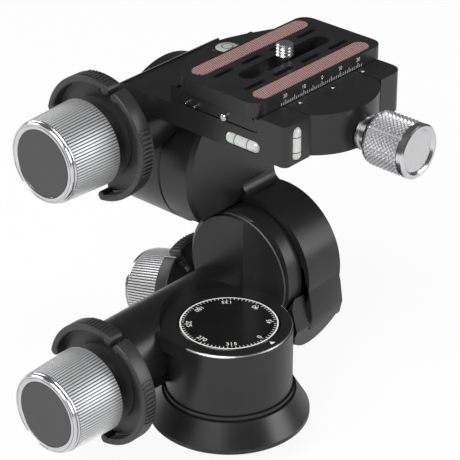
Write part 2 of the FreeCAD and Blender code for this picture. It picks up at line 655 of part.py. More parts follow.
PITCH_PLATE = "(pitch_gear_x + plate_offset)"
PITCH_PLATE_LENGTH = "arm_back - 0.3 - pitch_gear_x - plate_offset"
AXLE_START = "(disc_front + axle_seat)"
keep(cylinder("PitchAxle", "post_radius", "%s + bearing_width - %s" % (PITCH_PLATE, AXLE_START),
              (AXLE_START, "pitch_y", "pitch_z"), "X"), "pitch_axle")
bearing("pitch_bearing", PITCH_PLATE, "X", ("pitch_y", "pitch_z"))
keep(cylinder("PitchRetainer", "post_radius + 1.6", "0.6",
              (PITCH_PLATE + " + bearing_width + seat_gap", "pitch_y", "pitch_z"), "X"),
     "pitch_retainer")
end_plate("pitch_end_plate", PITCH_PLATE_LENGTH, "cover_wall",
          (PITCH_PLATE, "pitch_y", "pitch_z"), "X")
worm_tube = seat(group("WormTubePlaced", cylinder(
    "WormTube", "worm_tube_radius", "worm_tube_inner + worm_tube_outer",
    ("-worm_tube_inner", 0, 0), "X")), ("worm_tube_x",) + PITCH_AT[1:], PITCH_TURN)
arm_disc = cylinder("ArmDisc", "arm_radius", "arm_back - arm_front",
                    ("arm_front", "pitch_y", "pitch_z"), "X")
hub = lathe("Hub", [
    ("0", "0"), ("hub_radius - hub_bevel", "0"), ("hub_radius", "hub_bevel"),
    ("hub_radius", "hub_back - hub_face"), ("0", "hub_back - hub_face")],
    ("roll_x", "hub_face", "roll_z"), "Y")
fillet = cut("ArmFillet",
             box("FilletBlock", "arm_back - arm_front", "arm_fillet + 1", "arm_fillet + 10",
                 ("arm_front", "hub_face - arm_fillet", "pitch_z + arm_radius - 10")),
             cylinder("FilletRound", "arm_fillet", "arm_back",
                      ("arm_front - 1", "hub_face - arm_fillet",
                       "pitch_z + arm_radius + arm_fillet - 0.6"), "X"))
rough = cut("ArmRough", fuse("ArmFused", arm_disc, worm_tube, hub, fillet),
            box("ArmFarSide", "40", "200", "200", ("arm_back", "-80", "-20")),
            box("ArmNearSide", "skirt_front - 10", "hub_face + 60", "160",
                ("10", "-60", "-105")),
            cylinder("ArmRelief", "arm_relief", "arm_front - 10", ("10", "pitch_y", "pitch_z"),
                     "X"))
keep(cut("SwingArm", rough, pitch.room(),
         cylinder("WheelMouth", TIP + " + wheel_room", "arm_back",
                  ("pitch_gear_x", "pitch_y", "pitch_z"), "X"),
         cylinder("PitchAxleRoom", "post_radius + air", "arm_back",
                  ("arm_front - 1", "pitch_y", "pitch_z"), "X"),
         cylinder("BarrelRelief", "hub_radius + air", "hub_back",
                  ("roll_x", "hub_back", "roll_z"), "Y"),
         cylinder("RollAxleSeat", "post_radius + seat_gap / 2", "hub_back",
                  ("roll_x", "hub_face + 3.5", "roll_z"), "Y")), "swing_arm")

# Roll axis and platform

ROLL_PLATE = "(roll_gear_y + plate_offset)"
ROLL_AXLE_END = "(%s + 2 * bearing_width + air)" % ROLL_PLATE
keep(cylinder("RollAxle", "post_radius", "%s - hub_face - 3.6" % ROLL_AXLE_END,
              ("roll_x", "hub_face + 3.6", "roll_z"), "Y"), "roll_axle")
bearing("roll_inner_bearing", ROLL_PLATE, "Y", ("roll_x", "roll_z"))
bearing("roll_outer_bearing", ROLL_PLATE + " + bearing_width + air", "Y",
        ("roll_x", "roll_z"))
keep(cylinder("RollRetainer", "post_radius + 1.6", "1",
              ("roll_x", ROLL_AXLE_END + " + seat_gap", "roll_z"), "Y"), "roll_retainer")
end_plate("roll_end_plate", "barrel_back - 0.5 - roll_gear_y - plate_offset",
          "cover_wall + 0.6", ("roll_x", ROLL_PLATE, "roll_z"), "Y")
barrel = lathe("Barrel", [
    ("0", "0"), ("hub_radius - 0.6", "0"), ("hub_radius", "0.6"),
    ("hub_radius", "barrel_back - barrel_front - 2"),
    ("hub_radius - 2", "barrel_back - barrel_front"), ("0", "barrel_back - barrel_front")],
    ("roll_x", "barrel_front", "roll_z"), "Y")
HEIGHT = "jaw_top - deck_bottom"
deck = box("Deck", "deck_back - deck_front", "fence_back + jaw_start + 1.8",
           "deck_top - deck_bottom", ("deck_front", "-jaw_start - 1.8", "deck_bottom"))
fence = box("Fence", "deck_back - deck_front", "fence_back - fence_y + fence_lip", HEIGHT,
            ("deck_front", "fence_y - fence_lip", "deck_bottom"))
corner = upright_rounds(
    "Corner", box("CornerBlock", "corner_width", "face_y - jaw_start", HEIGHT,
                  ("deck_front", "-face_y", "deck_bottom")),
    "corner_round", lambda x, y: x < value("deck_front + 1") and y < value("1 - face_y"))
end_block = upright_rounds(
    "EndBlock", box("EndBlockBox", "corner_width", "face_y - jaw_start", HEIGHT,
                    ("deck_back - corner_width", "-face_y", "deck_bottom")),
    "end_round", lambda x, y: x > value("deck_back - 1") and y < value("1 - face_y"))
roll_tube = cylinder("RollTube", "roll_tube_radius", "roll_tube_reach + 18",
                     ("roll_x - roll_tube_reach", "roll_gear_y",
                      "roll_z + centre_distance + roll_tube_rise"), "X")
roll_rib = cylinder("RollPinRib", "rib_radius", "rib_length",
                    ("roll_x - roll_tube_reach", "roll_gear_y - pivot_drop",
                     "roll_z + centre_distance - pivot_side"), "X")
SIDE_TURN = FreeCAD.Rotation(Y, Z, X, "XYZ")


def dovetail(name, gap, lip, start, length):
    """The plate's dovetail, or the channel for it with its clearance."""
    foot = "(dovetail_foot + %s)" % gap
    neck = "(dovetail_neck + %s)" % gap
    low = "plate_bottom - (%s)" % lip
    high = "plate_top - plate_slab"
    return prism(name, [("-" + foot, low), (foot, low), (foot, "plate_bottom + 0.6"),
                        (neck, high), ("-" + neck, high), ("-" + foot, "plate_bottom + 0.6")],
                 length, (start, "plate_y", "0"), SIDE_TURN)


def clamp_bores(name, extra):
    """Holes along Y for the clamp's screw and its two guide pins."""
    bores = [cylinder(name + "ScrewHole", "clamp_screw_radius + %s" % extra, "face_y + 40",
                      ("roll_x", "-face_y - 20", "clamp_z"), "Y")]
    for side in (-1, 1):
        bores.append(cylinder(name + "PinHole%d" % (side + 1), "guide_pin_radius + %s" % extra,
                              "guide_pin_length + face_y",
                              ("roll_x + %d * guide_pin_spread" % side,
                               "-face_y + 4.6", "clamp_z"), "Y"))
    return bores


platform_solid = fuse("PlatformSolid", barrel, deck, fence, corner, end_block, roll_tube,
                      roll_rib)
slab_room = box("SlabRoom", "deck_back - deck_front + 2",
                "fence_y - plate_y + plate_width / 2 + air", "20",
                ("deck_front - 1", "plate_y - plate_width / 2 - air",
                 "plate_top - plate_slab - 0.1"))

def vial_room(name, length, middle, along, into, face):
    """A vial's round-ended window, cut from a face as deep as the vial is seated."""
    ends = []
    depth = "vial_depth + 1"
    run = "(%s - 2 * vial_radius)" % length
    axes = "XYZ"
    for sign in "-+":
        at = list(middle)
        at[axes.index(along)] += " %s %s / 2" % (sign, run)
        at[axes.index(into)] = "%s - 1" % face
        ends.append(cylinder(name + ("Low" if sign == "-" else "High"), "vial_radius", depth,
                             tuple(at), into))
    sides = {along: run, into: depth}
    size = [sides.get(axis, "2 * vial_radius") for axis in axes]
    corner_at = [spot if axis == into else "%s - %s / 2" % (spot, part)
                 for axis, spot, part in zip(axes, middle, size)]
    corner_at[axes.index(into)] = "%s - 1" % face
    return fuse(name, box(name + "Run", *size, tuple(corner_at)), *ends)


vial_front = vial_room("FrontVialRoom", "vial_length",
                       ("deck_front", "front_vial_y", "front_vial_z"), "Y", "X", "deck_front")
vial_side = vial_room("SideVialRoom", "side_vial_length",
                      ("side_vial_x", "-face_y", "side_vial_z"), "Z", "Y", "-face_y")
geared = cut("GearedPlatform", platform_solid,
             cylinder("BarrelBore", TIP + " + wheel_room", "barrel_back",
                      ("roll_x", "roll_gear_y", "roll_z"), "Y"),
             cylinder("RollAxleRoom", "post_radius + air", "barrel_back",
                      ("roll_x", "barrel_front - 1", "roll_z"), "Y"),
             roll.room())
keep(cut("Platform", geared,
         cylinder("HubRelief", "hub_radius + air", "barrel_front - hub_face + 0.5",
                  ("roll_x", "hub_face - 0.5", "roll_z"), "Y"),
         dovetail("ChannelRoom", "dovetail_gap", "air", "deck_front - 1",
                  "deck_back - deck_front + 2"),
         slab_room,
         cylinder("BubbleRoom", "bubble_ring + seat_gap", "20",
                  ("bubble_x", "bubble_y", "jaw_top - bubble_depth")),
         vial_front, vial_side, *clamp_bores("Deck", "seat_gap")), "platform")


# Jaw and clamp

jaw_block = common(
    "JawBlock",
    box("JawBox", "deck_back - deck_front - 2 * corner_width - 2 * jaw_gap",
        "face_y + jaw_arc - 0.1", HEIGHT,
        ("deck_front + corner_width + jaw_gap", "-jaw_arc - jaw_arc_y", "deck_bottom")),
    cylinder("JawArc", "jaw_arc", HEIGHT, ("jaw_arc_x", "-jaw_arc_y", "deck_bottom")))
jaw_shelf = box("JawShelf", "deck_back", "face_y", "deck_top - deck_bottom + air + 1",
                ("deck_front", "-jaw_start - 1.8 - air", "deck_bottom - 1"))
keep(cut("Jaw", jaw_block, jaw_shelf,
         box("JawBack", "deck_back + 4", "60", "40",
             ("deck_front - 2", "plate_y - dovetail_neck - dovetail_gap", "deck_bottom - 1")),
         dovetail("JawChannel", "dovetail_gap", "air + 1", "deck_front - 1",
                  "deck_back - deck_front + 2"),
         box("JawSlab", "deck_back", "face_y", "20",
             ("deck_front", "plate_y - plate_width / 2 - air",
              "plate_top - plate_slab - 0.1")),
         *clamp_bores("Jaw", "0.2")), "clamp_jaw")
pins = []
for side in (-1, 1):
    pins.append(cylinder("GuidePin%d" % (side + 1), "guide_pin_radius", "guide_pin_length",
                         ("roll_x + %d * guide_pin_spread" % side, "-face_y + 6",
                          "clamp_z"), "Y"))
keep(group("GuidePins", *pins), "clamp_guide_pins")
KNOB_END = "(clamp_knob_start + clamp_knob_length)"
keep(cylinder("ClampScrew", "clamp_screw_radius", KNOB_END + " - 6",
              ("roll_x", "-" + KNOB_END + " + 6", "clamp_z"), "Y"), "clamp_screw")
screw_bore = "clamp_screw_radius + seat_gap / 2"
keep(lathe("ClampKnob", [
    (screw_bore, "6"), ("clamp_screw_radius + 0.6", "6"), ("clamp_screw_radius + 0.6", "1.2"),
    ("clamp_knob_radius - 2.4", "1.2"), ("clamp_knob_radius - 1.6", "0"),
    ("clamp_knob_radius - 0.6", "0"), ("clamp_knob_radius", "0.6"),
    ("clamp_knob_radius", "clamp_knob_length - 0.8"),
    ("clamp_knob_radius - 0.8", "clamp_knob_length"), ("clamp_collar", "clamp_knob_length"),
    ("clamp_collar", "%s - jaw_arc - jaw_arc_y - 1.2" % KNOB_END),
    (screw_bore, "%s - jaw_arc - jaw_arc_y - 1.2" % KNOB_END)],
    ("roll_x", "-" + KNOB_END, "clamp_z"), "Y"), "clamp_knob")
keep(cut("ClampWasher",
         cylinder("WasherOuter", "clamp_collar + 0.6", "0.9",
                  ("roll_x", "-jaw_arc - jaw_arc_y - 1.05", "clamp_z"), "Y"),
         cylinder("WasherBore", "clamp_screw_radius + 0.2", "0.9",
                  ("roll_x", "-jaw_arc - jaw_arc_y - 1.05", "clamp_z"), "Y")), "clamp_washer")

# Plate

slab = box("Slab", "plate_length", "plate_width", "plate_slab",
           ("plate_front", "plate_y - plate_width / 2", "plate_top - plate_slab"))
plate_round = upright_rounds("SlabRound", slab, "plate_corner")
SLOT_X = "(slot_front + slot_back) / 2"
SLOT_LENGTH = "slot_back - slot_front"
SHANK = "2 * camera_screw_radius + 2 * slot_gap"
cuts = [
    slot("MainSlot", SHANK, SLOT_LENGTH, "plate_top", (SLOT_X, "plate_y", "plate_slab")),
    slot("HeadSlot", "2 * camera_head_radius + 2 * slot_gap",
         SLOT_LENGTH + " + 2 * camera_head_radius - 2 * camera_screw_radius",
         "camera_head_height + camera_clip + 0.6", (SLOT_X, "plate_y", "plate_bottom"))]
for side in (-1, 1):
    across = "plate_y + %d * (plate_width / 2 - pad_edge - pad_width / 2)" % side
    cuts.append(slot("PadSeat%d" % (side + 1), "pad_width", "pad_length", "pad_depth + 1",
                     ("plate_front + plate_length / 2", across, "plate_top - pad_depth")))
    for k in range(4):
        cuts.append(slot("SmallSlot%d%d" % (side + 1, k), "small_slot_width",
                         "small_slot_length", "small_slot_depth + 1",
                         ("plate_front + plate_length * (%d.5 / 4) * 0.86 + plate_length * 0.07"
                          % k, "plate_y + %d * small_slot_y" % side,
                          "plate_top - small_slot_depth")))
keep(cut("Plate", fuse("PlateSolid", plate_round,
                       dovetail("PlateFoot", "0", "0", "plate_front + 1",
                                "plate_length - 2")), *cuts), "plate")
pads = []
for side in (-1, 1):
    across = "plate_y + %d * (plate_width / 2 - pad_edge - pad_width / 2)" % side
    pads.append(slot("Pad%d" % (side + 1), "pad_width - 2 * seat_gap",
                     "pad_length - 2 * seat_gap", "pad_depth + pad_rise",
                     ("plate_front + plate_length / 2", across, "plate_top - pad_depth")))
keep(group("Pads", *pads), "plate_pads")
keep(lathe("CameraScrew", [
    ("0", "plate_bottom + 0.3"), ("camera_head_radius", "plate_bottom + 0.3"),
    ("camera_head_radius", "plate_bottom + 0.3 + camera_head_height"),
    ("camera_neck_radius", "plate_bottom + 0.3 + camera_head_height"),
    ("camera_neck_radius", "plate_top + camera_thread_start"),
    ("camera_screw_radius", "plate_top + camera_thread_start"),
    ("camera_screw_radius", "plate_top + camera_screw_rise - 0.5"),
    ("camera_screw_radius - 0.5", "plate_top + camera_screw_rise"),
    ("0", "plate_top + camera_screw_rise")], ("camera_screw_x", "plate_y", "0")),
    "camera_screw")
washer_at = ("camera_screw_x", "plate_y", "plate_bottom + 0.3 + camera_head_height + seat_gap")
keep(cut("CameraWasher",
         cylinder("CameraWasherOuter", "camera_head_radius - 0.6", "camera_clip", washer_at),
         cylinder("CameraWasherBore", "camera_neck_radius + seat_gap", "camera_clip",
                  washer_at)), "camera_screw_washer")

# Spirit levels

keep(lathe("Bubble", [
    ("0", "0"), ("bubble_ring", "0"), ("bubble_ring", "bubble_depth"),
    ("bubble_radius", "bubble_depth + 0.3"), ("0", "bubble_depth + 0.3")],
    ("bubble_x", "bubble_y", "jaw_top - bubble_depth")), "bubble_level")
keep(capsule("FrontVial", "vial_radius - seat_gap", "vial_length - 2 * seat_gap",
             ("deck_front + vial_depth - vial_radius", "front_vial_y", "front_vial_z"), "Y"),
     "front_vial")
keep(capsule("SideVial", "vial_radius - seat_gap", "side_vial_length - 2 * seat_gap",
             ("side_vial_x", "-face_y + vial_depth - vial_radius", "side_vial_z"), "Z"),
     "side_vial")

# Check and write

doc.recompute()
for item in doc.Objects:
    if "Invalid" in item.State or "Error" in item.State:
        raise RuntimeError("%s could not be made: %s" % (item.Name, item.State))
os.makedirs("parts", exist_ok=True)
total = 0
for item in PARTS:
    shape = item.Shape
    if shape.isNull() or not shape.isValid() or not shape.Solids:
        raise RuntimeError("%s has no valid solid" % item.Label)
    count = len(shape.tessellate(0.1)[1])
    total += count
    print("%-24s %2d solid %9.1f mm3 %5d" % (item.Label, len(shape.Solids), shape.Volume, count))
    shape.exportStep(os.path.join("parts", item.Label + ".step"))
print(len(PARTS), "nodes", total, "triangles")
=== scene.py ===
"""The finished look of a geared tripod head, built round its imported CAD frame.

Sizes are written in millimetres and turned into Blender's metres where a mesh is made.
"""

import json
import logging
import math
from collections.abc import Callable, Iterable
from dataclasses import dataclass
from enum import Enum

import bpy
from mathutils import Matrix, Vector


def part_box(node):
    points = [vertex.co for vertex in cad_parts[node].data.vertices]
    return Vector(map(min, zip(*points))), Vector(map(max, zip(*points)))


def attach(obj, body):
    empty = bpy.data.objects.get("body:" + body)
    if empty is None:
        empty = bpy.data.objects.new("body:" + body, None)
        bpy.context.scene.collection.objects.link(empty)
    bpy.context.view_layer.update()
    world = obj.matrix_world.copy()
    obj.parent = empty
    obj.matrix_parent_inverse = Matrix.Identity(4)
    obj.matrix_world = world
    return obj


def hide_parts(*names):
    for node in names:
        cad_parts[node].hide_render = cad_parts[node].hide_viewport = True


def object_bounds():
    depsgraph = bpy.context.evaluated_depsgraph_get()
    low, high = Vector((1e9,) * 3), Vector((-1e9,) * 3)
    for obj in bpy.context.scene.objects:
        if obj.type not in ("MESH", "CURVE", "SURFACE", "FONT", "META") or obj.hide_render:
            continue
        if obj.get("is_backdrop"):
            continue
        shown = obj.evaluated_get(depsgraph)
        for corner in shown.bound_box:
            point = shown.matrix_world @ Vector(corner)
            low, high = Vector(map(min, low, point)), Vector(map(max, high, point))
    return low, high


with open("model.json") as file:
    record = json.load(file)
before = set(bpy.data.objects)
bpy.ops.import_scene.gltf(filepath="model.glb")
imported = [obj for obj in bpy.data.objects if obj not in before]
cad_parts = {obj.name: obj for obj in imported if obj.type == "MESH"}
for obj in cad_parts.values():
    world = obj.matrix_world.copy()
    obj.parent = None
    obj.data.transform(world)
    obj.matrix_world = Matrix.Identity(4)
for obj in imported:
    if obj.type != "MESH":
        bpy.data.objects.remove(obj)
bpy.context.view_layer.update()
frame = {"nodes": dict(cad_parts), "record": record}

MM = 0.001
LOG = logging.getLogger("geared_head")
Point = tuple[float, float, float]
Flat = tuple[float, float]
Colour = tuple[float, float, float]
X, Y, Z = Vector((1, 0, 0)), Vector((0, 1, 0)), Vector((0, 0, 1))


def corners(node: str) -> tuple[Vector, Vector]:
    """Return the lowest and highest corner of a CAD node in millimetres."""
    low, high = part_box(node)
    return low / MM, high / MM


def middle(node: str) -> Vector:
    """Return the middle of a CAD node in millimetres."""
    low, high = corners(node)
    return (low + high) / 2


def end_of(node: str, axis: int) -> Vector:
    """Return the middle of a CAD node's lower end along an axis, in millimetres."""
    at = middle(node)
    at[axis] = corners(node)[0][axis]
    return at


def under(node: str) -> Matrix:
    """Return the place on the base plane below a CAD node's middle."""
    at = middle(node)
    return Matrix.Translation((at.x, at.y, 0.0))


# Materials


class Socket:
    """A value in a material, which does arithmetic by adding Math nodes."""

    def __init__(self, shader: "Shader", socket: bpy.types.NodeSocket) -> None:
        """Wrap an output socket of one of the shader's nodes."""
        self.shader = shader
        self.socket = socket

    def _math(self, operation: str, *values: "Socket | float") -> "Socket":
        """Add a Math node on these values and return its result."""
        node = self.shader.node("ShaderNodeMath", {"operation": operation},
                                dict(enumerate(values)))
        return Socket(self.shader, node.outputs[0])

    def __add__(self, other: "Socket | float") -> "Socket":
        """Return self + other."""
        return self._math("ADD", self, other)

    def __radd__(self, other: float) -> "Socket":
        """Return other + self."""
        return self._math("ADD", other, self)

    def __sub__(self, other: "Socket | float") -> "Socket":
        """Return self - other."""
        return self._math("SUBTRACT", self, other)

    def __rsub__(self, other: float) -> "Socket":
        """Return other - self."""
        return self._math("SUBTRACT", other, self)

    def __mul__(self, other: "Socket | float") -> "Socket":
        """Return self * other."""
        return self._math("MULTIPLY", self, other)

    def __rmul__(self, other: float) -> "Socket":
        """Return other * self."""
        return self._math("MULTIPLY", other, self)

    def sine(self) -> "Socket":
        """Return the sine of self in radians."""
        return self._math("SINE", self)

    def clamped(self) -> "Socket":
        """Return self held between 0 and 1."""
        return self._math("MINIMUM", self._math("MAXIMUM", self, 0.0), 1.0)


class Shader:
    """One material's node tree, ending in a Principled BSDF."""

    def __init__(self, name: str) -> None:
        """Start an empty material.

        Args:
            name: The material's name.
        """
        self.material = bpy.data.materials.new(name)
        self.material.use_nodes = True
        self.tree = self.material.node_tree
        self.tree.nodes.clear()

    def node(self, kind: str, settings: dict[str, object] | None = None,
             inputs: dict[str | int, object] | None = None) -> bpy.types.Node:
        """Add any node.

        Args:
            kind: The node's Blender type.
            settings: Its properties, which are set first.
            inputs: A value, or a Socket to link, for each named or numbered input.

        Returns:
            The new node.
        """
        made = self.tree.nodes.new(kind)
        for name, value in (settings or {}).items():
            setattr(made, name, value)
        for name, value in (inputs or {}).items():
            if isinstance(value, Socket):
                self.tree.links.new(value.socket, made.inputs[name])
            else:
                made.inputs[name].default_value = value
        return made

    def place(self) -> Socket:
        """Read the object coordinates.

        Returns:
            The place on the piece, in millimetres.
        """
        where = self.node("ShaderNodeTexCoord")
        scaled = self.node("ShaderNodeVectorMath", {"operation": "MULTIPLY"},
                           {0: Socket(self, where.outputs["Object"]), 1: (1.0 / MM,) * 3})
        return Socket(self, scaled.outputs[0])

    def parts(self, vector: Socket) -> tuple[Socket, Socket, Socket]:
        """Split a vector into its three values."""
        split = self.node("ShaderNodeSeparateXYZ", None, {0: vector})
        return tuple(Socket(self, out) for out in split.outputs)

    def noise(self, where: Socket, scale: float, detail: float = 2.0) -> Socket:
        """Return soft noise from 0 to 1, with the given features per millimetre."""
        made = self.node("ShaderNodeTexNoise", None,
                         {"Vector": where, "Scale": scale, "Detail": detail})
        return Socket(self, made.outputs[0])

    def mix(self, factor: Socket, low: Colour, high: Colour) -> Socket:
        """Mix two colours by a factor."""
        made = self.node("ShaderNodeMix", {"data_type": "RGBA"},
                         {"Factor": factor, 6: (*low, 1.0), 7: (*high, 1.0)})
        return Socket(self, made.outputs[2])

    def bump(self, height: Socket, depth: float) -> Socket:
        """Return normals bumped by a height whose full range is depth millimetres."""
        made = self.node("ShaderNodeBump", None,
                         {"Strength": 1.0, "Distance": depth * MM, "Height": height})
        return Socket(self, made.outputs[0])

    def surface(self, **sockets: object) -> bpy.types.Material:
        """Finish the material.

        Args:
            **sockets: The Principled inputs, their names written with underscores.

        Returns:
            The finished material.
        """
        named = {key.replace("_", " ").title(): value for key, value in sockets.items()}
        body = self.node("ShaderNodeBsdfPrincipled", None, named)
        out = self.node("ShaderNodeOutputMaterial")
        self.tree.links.new(body.outputs[0], out.inputs[0])
        return self.material


class Grain(Enum):
    """How a finish varies over its surface."""

    BLASTED = "fine, even grains of a blasted and anodised surface"
    TURNED = "soft streaks and cloudiness of a turned or drawn surface"
    MOULDED = "spark-eroded texture of moulded plastic"
    MESH = "woven dots of the anti-slip strips"
    CLEAR = "clean, faintly cloudy acrylic"


GRAIN_SCALE = {Grain.BLASTED: 5.0, Grain.TURNED: 0.9, Grain.MOULDED: 3.2, Grain.CLEAR: 0.4}
CLOUD_SCALE = 0.06
GRAIN_SHARE, CLOUD_SHARE = 0.45, 0.55
STRIP_PITCH = 0.95


@dataclass(frozen=True)
class Finish:
    """One procedural finish.

    Attributes:
        name: The material's name.
        dark: The linear colour at the grain's low end.
        light: The linear colour at its high end.
        metallic: How metallic the surface is.
        roughness: Its middle roughness.
        spread: How far the roughness varies in all.
        grain: The way in which it varies.
        depth: How deep the grain is, in millimetres.
        coat: The weight of a clear coat.
    """

    name: str
    dark: Colour
    light: Colour
    metallic: float
    roughness: float
    spread: float
    grain: Grain
    depth: float = 0.01
    coat: float = 0.0

    def make(self) -> bpy.types.Material:
        """Build the finish.

        Returns:
            The Blender material.
        """
        shader = Shader(self.name)
        where = shader.place()
        if self.grain is Grain.MESH:
            return self._mesh(shader, where)
        grains = shader.noise(where, GRAIN_SCALE[self.grain], 3.0)
        clouds = shader.noise(where, CLOUD_SCALE)
        wear = (grains * GRAIN_SHARE + clouds * CLOUD_SHARE - 0.25) * 2.0
        rough = self.roughness + (wear.clamped() - 0.5) * self.spread
        return shader.surface(
            base_color=shader.mix(wear.clamped(), self.dark, self.light),
            metallic=self.metallic, roughness=rough, coat_weight=self.coat,
            normal=shader.bump(grains, self.depth))

    def _mesh(self, shader: Shader, where: Socket) -> bpy.types.Material:
        """Build the anti-slip strips: raised threads round rows of dark holes.

        Args:
            shader: The material that is being made.
            where: The place on the piece, in millimetres.

        Returns:
            The Blender material.
        """
        along, across, _ = shader.parts(where)
        pitch = 2.0 * math.pi / STRIP_PITCH
        holes = ((along + across * 0.5) * pitch).sine() * (across * (pitch * 0.9)).sine()
        thread = (holes * 1.6 + 0.55).clamped()
        return shader.surface(
            base_color=shader.mix(thread, self.dark, self.light), metallic=self.metallic,
            roughness=self.roughness, normal=shader.bump(thread, self.depth))


class Look(Enum):
    """Every finish on the head, by the record's slot or the part that wears it."""

    ANODISED = Finish("Black anodised aluminium", (0.011, 0.011, 0.012), (0.021, 0.021, 0.022),
                      0.20, 0.32, 0.10, Grain.BLASTED, 0.008)
    # Painted highlight: the bright grey of the rings laid on the drum's bevel.
    CHAMFER_HIGHLIGHT = Finish("Painted chamfer highlight", (0.42, 0.42, 0.43), (0.58, 0.58, 0.59),
                     1.0, 0.34, 0.10, Grain.TURNED, 0.004)
    KNOB = Finish("Silver anodised aluminium", (0.60, 0.60, 0.61), (0.72, 0.72, 0.73),
                  0.60, 0.40, 0.10, Grain.TURNED, 0.004)
    KNURL = Finish("Knurled silver aluminium", (0.42, 0.42, 0.43), (0.56, 0.56, 0.57),
                   0.80, 0.40, 0.10, Grain.TURNED, 0.006)
    BEZEL = Finish("Polished bezel", (0.56, 0.56, 0.57), (0.68, 0.68, 0.69),
                   1.0, 0.20, 0.08, Grain.TURNED, 0.003)
    # Painted shade: a dark grey for the valleys between the grip's ribs.
    VALLEY_SHADE = Finish("Shaded valley of the grip", (0.09, 0.09, 0.092), (0.13, 0.13, 0.132),
                    0.60, 0.45, 0.10, Grain.TURNED, 0.004)
    DIAL = Finish("Glossy black dial", (0.006, 0.006, 0.006), (0.011, 0.011, 0.011),
                  0.0, 0.24, 0.08, Grain.BLASTED, 0.002)
    CAP = Finish("Grey end cap", (0.050, 0.050, 0.052), (0.070, 0.070, 0.072),
                 0.20, 0.50, 0.08, Grain.BLASTED, 0.004)
    LEVER = Finish("Matte black plastic", (0.020, 0.020, 0.021), (0.034, 0.034, 0.036),
                   0.0, 0.40, 0.12, Grain.MOULDED, 0.012)
    PAD = Finish("Dusty red anti-slip mesh", (0.12, 0.05, 0.05), (0.47, 0.28, 0.27),
                 0.0, 0.78, 0.05, Grain.MESH, 0.12)
    STEEL = Finish("Bright steel", (0.62, 0.62, 0.62), (0.76, 0.76, 0.76),
                   1.0, 0.24, 0.12, Grain.TURNED, 0.004)
    BRONZE = Finish("Gear bronze", (0.50, 0.32, 0.13), (0.62, 0.42, 0.19),
                    1.0, 0.30, 0.12, Grain.TURNED, 0.004)
    CARRIER = Finish("Plain carrier alloy", (0.44, 0.44, 0.45), (0.55, 0.55, 0.56),
                     0.9, 0.38, 0.12, Grain.BLASTED, 0.006)
    VIAL = Finish("Vial acrylic", (0.40, 0.43, 0.40), (0.58, 0.61, 0.58),
                  0.0, 0.12, 0.04, Grain.CLEAR, 0.002, 1.0)
    MARK = Finish("White fill of the engraved marks", (0.72, 0.72, 0.70), (0.84, 0.84, 0.82),
                  0.0, 0.55, 0.06, Grain.MOULDED, 0.004)
    LINE = Finish("Black line paint", (0.010, 0.010, 0.010), (0.018, 0.018, 0.018),
                  0.0, 0.45, 0.05, Grain.MOULDED, 0.003)


SLOT_LOOKS = {
    "black_anodised": Look.ANODISED, "knob_silver": Look.KNOB, "cap_grey": Look.CAP,
    "lever_black": Look.LEVER, "pad_rubber": Look.PAD, "steel": Look.STEEL,
    "bronze": Look.BRONZE, "carrier_alloy": Look.CARRIER, "vial_acrylic": Look.VIAL,
}
NODE_LOOKS = {"pan_dial": Look.DIAL}


class Paints:
    """The finishes as materials, each made once."""

    made: dict[Look, bpy.types.Material] = {}

    @classmethod
    def of(cls, look: Look) -> bpy.types.Material:
        """Make a look's material when it is first asked for.

        Args:
            look: The finish that is wanted.

        Returns:
            Its material.
        """
        if look not in cls.made:
            cls.made[look] = look.value.make()
        return cls.made[look]

    @classmethod
    def dress_frame(cls) -> int:
        """Give every CAD node the finish of its slot in the record.

        Returns:
            How many nodes were dressed.
        """
        slots = {part["node"]: part["material_slot"] for part in frame["record"]["subparts"]}
        for name, node in frame["nodes"].items():
            material = cls.of(NODE_LOOKS.get(name, SLOT_LOOKS[slots[name]]))
            for holder in node.material_slots:
                holder.material = material
        return len(slots)


# Modelling

MERGE_DISTANCE = 0.0005
LETTER_RATIO = 1.4
FLAT_ANGLE = 0.4
ROUNDED_ANGLE = 40.0
SWEEP_STEP = 4.0
LEAST_STEPS = 6
SMOOTH_ANGLE = 32.0
CASTING_ANGLE = 22.0
KNURL_ANGLE = 12.0


